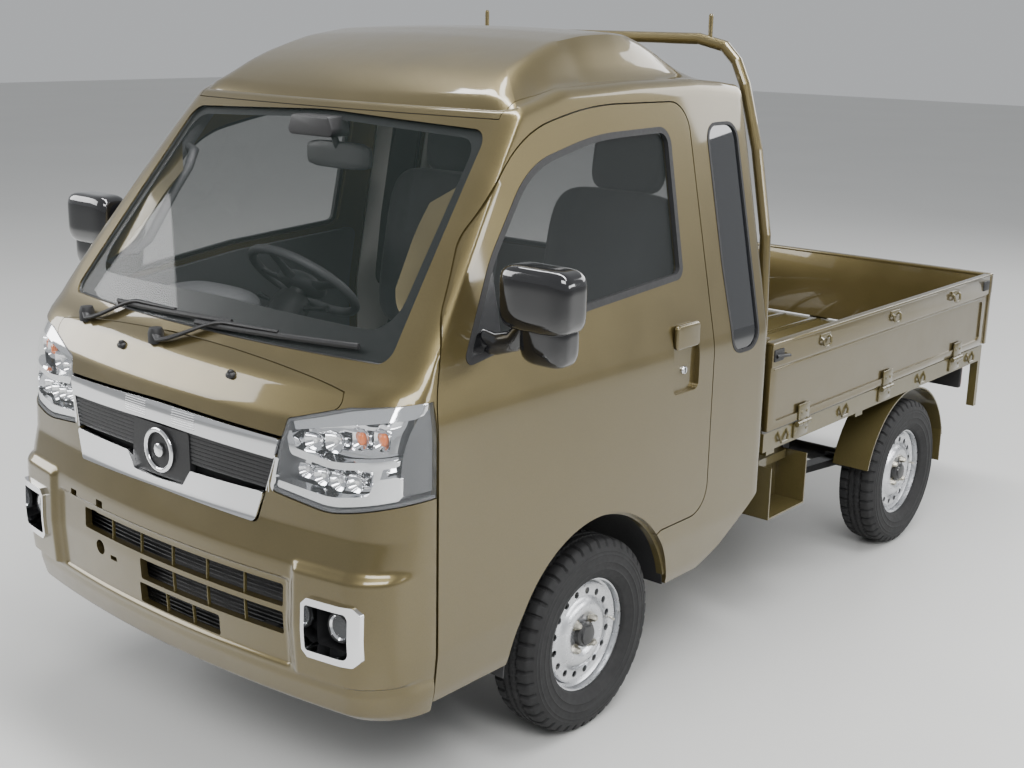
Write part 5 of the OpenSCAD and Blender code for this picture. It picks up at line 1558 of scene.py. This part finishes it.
def build_wheels():
    """The four wheels: tyre, disc and barrel, nuts, hub cap and brake drum."""
    tyre = tyre_shape()
    disc, barrel = rim_shape()
    hub = lathe([(0, 30), (36, 30), (35, 46), (31, 50), (27, 50.5), (25, 56), (12, 59), (0, 59.5)],
                (0, 0, 0), "x", 48)
    nuts = []
    for i in range(NUTS):
        a = 2 * np.pi * (i + 0.5) / NUTS
        at = np.array([36, NUT_RING * np.cos(a), NUT_RING * np.sin(a)])
        nuts.append(lathe([(0, 20), (6, 19), (9.5, 15), (10.5, 6), (13, 2), (13, -2), (0, -2)], at,
                          "x", 6))
        nuts.append(lathe([(15, 2), (17, 0), (13, -2)], at, "x", 24, True))
    drum = lathe([(0, 8), (96, 8), (104, 2), (108, -40), (0, -40)], (0, 0, 0), "x", 60)
    valve = tube([(22, 134, 0), (34, 132, 0), (44, 128, 0)], 3.5, 10, up=(0, 0, 1))
    for side, y, name in ((1, FRONT_AXLE, "front_left"), (-1, FRONT_AXLE, "front_right"),
                          (1, REAR_AXLE, "rear_left"), (-1, REAR_AXLE, "rear_right")):
        def sited(shape):
            """The shape at this wheel's place, its outer face outwards."""
            shape = shape if side > 0 else mirror_x(shape)
            return moved(shape, (side * WHEEL_X, y, HUB_Z))
        body = name + "_wheel"
        piece(name + "_tyre_tread", sited(tyre), "tyre", body, name + "_tyre", sharp=28)
        piece(name + "_wheel_disc", [(sited(disc), 0), (sited(barrel), 0)], "rim", body,
              name + "_rim")
        piece(name + "_wheel_nuts", merge(sited(merge(*nuts)), sited(valve)), "zinc", body)
        piece(name + "_hub_cap", sited(hub), "chassis", body)
        piece(name + "_brake_drum", sited(drum), "iron", body)


# ---------------------------------------------------------------------------
# Kept parts of the frame

KEPT = {
    "chassis_frame": "chassis", "front_suspension": "chassis", "left_knuckle": "iron",
    "right_knuckle": "iron", "engine": "iron", "propshaft": "steel", "exhaust": "steel",
    "fuel_tank": "chassis", "battery_tray": "under", "rear_axle": "chassis", "bed": "bed",
    "guard_frame": "paint", "rear_mudguards": "under"}
REST = {
    "olive_paint": "paint", "bed_paint": "bed", "chrome_trim": "chrome", "lamp_lens": "white",
    "clear_glass": "side_glass", "dark_glass": "dark_glass", "gloss_black": "gloss_black",
    "black_plastic": "plastic", "grey_plastic": "grey", "seat_fabric": "cloth",
    "chassis_black": "chassis", "cast_metal": "iron", "bare_steel": "steel",
    "tyre_rubber": "tyre", "silver_rim": "rim", "red_lens": "red"}


def finish_frame():
    """Gives every CAD node that still shows its procedural finish."""
    slots = {n["node"]: n["material_slot"] for n in frame["record"].get("subparts", [])}
    for name, node in frame["nodes"].items():
        key = KEPT.get(name) or REST.get(slots.get(name), "plastic")
        node.data.materials.clear()
        node.data.materials.append(FINISH[key])
        smooth(node, 30)


# ---------------------------------------------------------------------------
# Stage

CAMERA_AT = (2.7406, -3.595, 1.8695)
CAMERA_TURN = (40.03, 14.84, 1.08)
CAMERA_LENS = 48.94
SENSOR = 36.0
FLOOR_HALF = 30
SKY_COLOUR, SKY_STRENGTH = (0.78, 0.80, 0.82, 1), 0.62
LIGHTS = (
    ("key", (4.5, -5.0, 5.5), (4.5, 2.2), 430, (0, 0, 0.8)),
    ("fill", (-6.0, -4.5, 3.5), (5.0, 3.0), 330, (0, 0, 0.9)),
    ("top", (0.0, -0.4, 6.0), (6.5, 0.7), 260, (0, 0, 0)),
    ("overhead", (1.6, -0.4, 6.0), (0.7, 6.5), 200, (0.4, 0, 0)),
    ("back", (2.0, 7.0, 4.0), (6.0, 3.0), 300, (0, 0, 1.0)),
    ("side", (7.5, 2.5, 2.6), (6.0, 1.2), 230, (0, 0, 0.9)))


def build_stage():
    """Camera, pale floor, area lights and a plain sky."""
    scene = bpy.context.scene
    yaw, pitch, roll = (math.radians(a) for a in CAMERA_TURN)
    look = np.array([-math.sin(yaw) * math.cos(pitch), math.cos(yaw) * math.cos(pitch),
                     -math.sin(pitch)])
    level = np.array([math.cos(yaw), math.sin(yaw), 0])
    upright = np.cross(level, look)
    right = math.cos(roll) * level + math.sin(roll) * upright
    up = math.cos(roll) * upright - math.sin(roll) * level
    data = bpy.data.cameras.new("camera")
    data.lens = CAMERA_LENS
    data.sensor_width = SENSOR
    camera = bpy.data.objects.new("camera", data)
    turn = Matrix(np.stack([right, up, -look], 1).tolist()).to_4x4()
    camera.matrix_world = Matrix.Translation(CAMERA_AT) @ turn
    scene.collection.objects.link(camera)
    scene.camera = camera
    ground = FLOOR_HALF * np.array([(-1, -1, 0), (1, -1, 0), (1, 1, 0), (-1, 1, 0)]) / MM
    floor = mesh_object("floor", (ground, [np.array([[0, 1, 2, 3]])]), [
        finish("pale_floor", (0.60, 0.60, 0.585), 0.4, 0.0, 0.02, 0.6)])
    for name, at, size, power, target in LIGHTS:
        light = bpy.data.lights.new(name, "AREA")
        light.shape = "RECTANGLE"
        light.size, light.size_y = size
        light.energy = power
        lamp = bpy.data.objects.new(name, light)
        lamp.rotation_mode = "QUATERNION"
        lamp.location = at
        towards = Vector(np.subtract(target, at).tolist())
        lamp.rotation_quaternion = towards.to_track_quat("-Z", "Y")
        scene.collection.objects.link(lamp)
    world = bpy.data.worlds.new("studio")
    world.use_nodes = True
    sky = world.node_tree.nodes["Background"]
    sky.inputs["Color"].default_value = SKY_COLOUR
    sky.inputs["Strength"].default_value = SKY_STRENGTH
    scene.world = world


# ---------------------------------------------------------------------------
# Add-on


class TruckLook(bpy.types.PropertyGroup):
    """What the whole truck shares."""
    paint: bpy.props.FloatVectorProperty(
        name="Paint", description="Base colour of the metallic paint", subtype="COLOR", size=3,
        default=(0.122, 0.095, 0.036), min=0.0, max=1.0)
    trim: bpy.props.FloatVectorProperty(
        name="Trim", description="Colour of the cab's plastic trim", subtype="COLOR", size=3,
        default=(0.075, 0.076, 0.08), min=0.0, max=1.0)
    cloth: bpy.props.FloatVectorProperty(
        name="Seat cloth", description="Colour of the seats' cloth", subtype="COLOR", size=3,
        default=(0.055, 0.055, 0.06), min=0.0, max=1.0)
    rim: bpy.props.FloatVectorProperty(
        name="Rims", description="Colour of the wheels' lacquer", subtype="COLOR", size=3,
        default=(0.60, 0.61, 0.63), min=0.0, max=1.0)
    panel_gap: bpy.props.FloatProperty(
        name="Panel gap", description="Gap round the front's panels, in millimetres", default=2.5,
        min=0.5, max=6.0)
    tread_blocks: bpy.props.IntProperty(
        name="Tread blocks", description="Blocks round each tyre's shoulder", default=44, min=12,
        max=80)
    vents: bpy.props.IntProperty(
        name="Rim vents", description="Round holes in each rim", default=16, min=4, max=24)


def operator(idname, label, words, build):
    """An operator class that runs one builder."""
    def execute(self, context):
        """Runs the builder; a builder that fails raises."""
        build()
        return {"FINISHED"}
    name = "TRUCK_OT_" + idname
    return type(name, (bpy.types.Operator,), {
        "__doc__": words, "bl_idname": "truck." + idname, "bl_label": label,
        "bl_options": {"REGISTER", "UNDO"}, "execute": execute})


OPERATORS = [
    operator("add_stage", "Stage", "Camera, floor and soft studio light", build_stage),
    operator("add_cab", "Cab", "Cab shell, roof and floor", build_cab),
    operator("add_front", "Front", "Bumper cover, hood panel and air intake", build_front),
    operator("add_grille", "Grille", "Chrome bars, ribs and emblem ring", build_grille),
    operator("add_headlights", "Headlights", "Lenses and reflectors", build_headlights),
    operator("add_fog_lamps", "Fog lamps", "Bezels and round lamps", build_fog_lamps),
    operator("add_glass", "Glass", "Windshield, rear and quarter glass", build_glass),
    operator("add_doors", "Doors", "Doors with glass, handles and mirrors", build_doors),
    operator("add_wipers", "Wipers", "Wiper arms, blades and washer nozzles", build_wipers),
    operator("add_interior", "Interior", "Dashboard, lining, column and steering wheel",
             build_interior),
    operator("add_seats", "Seats", "Padded cushions, backrests and headrests", build_seats),
    operator("add_arches", "Arches", "Liners and flanges of the front arches", build_arches),
    operator("add_gates", "Gates", "Side gates and tailgate with hinges and hooks", build_gates),
    operator("add_bed_details", "Bed details", "Ribs, rope hooks and tail lamps",
             build_bed_details),
    operator("add_wheels", "Wheels", "Tyres, rims, nuts and drums", build_wheels),
    operator("finish_frame", "Frame finishes", "Finishes of the kept frame nodes", finish_frame),
]


class TRUCK_PT_looks(bpy.types.Panel):
    """Lists the truck's builders."""
    bl_idname = "TRUCK_PT_looks"
    bl_label = "Kei Truck"
    bl_space_type = "VIEW_3D"
    bl_region_type = "UI"
    bl_category = "Kei Truck"

    def draw(self, context):
        """The properties, then a button for each operator."""
        layout = self.layout
        for name in TruckLook.__annotations__:
            layout.prop(context.scene.truck_look, name)
        for made in OPERATORS:
            layout.operator(made.bl_idname)


CLASSES = [TruckLook, *OPERATORS, TRUCK_PT_looks]


def register():
    """Registers the classes and the scene property."""
    for made in CLASSES:
        bpy.utils.register_class(made)
    bpy.types.Scene.truck_look = bpy.props.PointerProperty(type=TruckLook)


def unregister():
    """Takes the classes and the scene property away again."""
    del bpy.types.Scene.truck_look
    for made in reversed(CLASSES):
        bpy.utils.unregister_class(made)


def main():
    """Runs every operator in order and writes the two boxes."""
    register()
    FINISH.update(make_finishes())
    for made in OPERATORS:
        group, name = made.bl_idname.split(".")
        getattr(getattr(bpy.ops, group), name)()


if __name__ == "__main__":
    main()
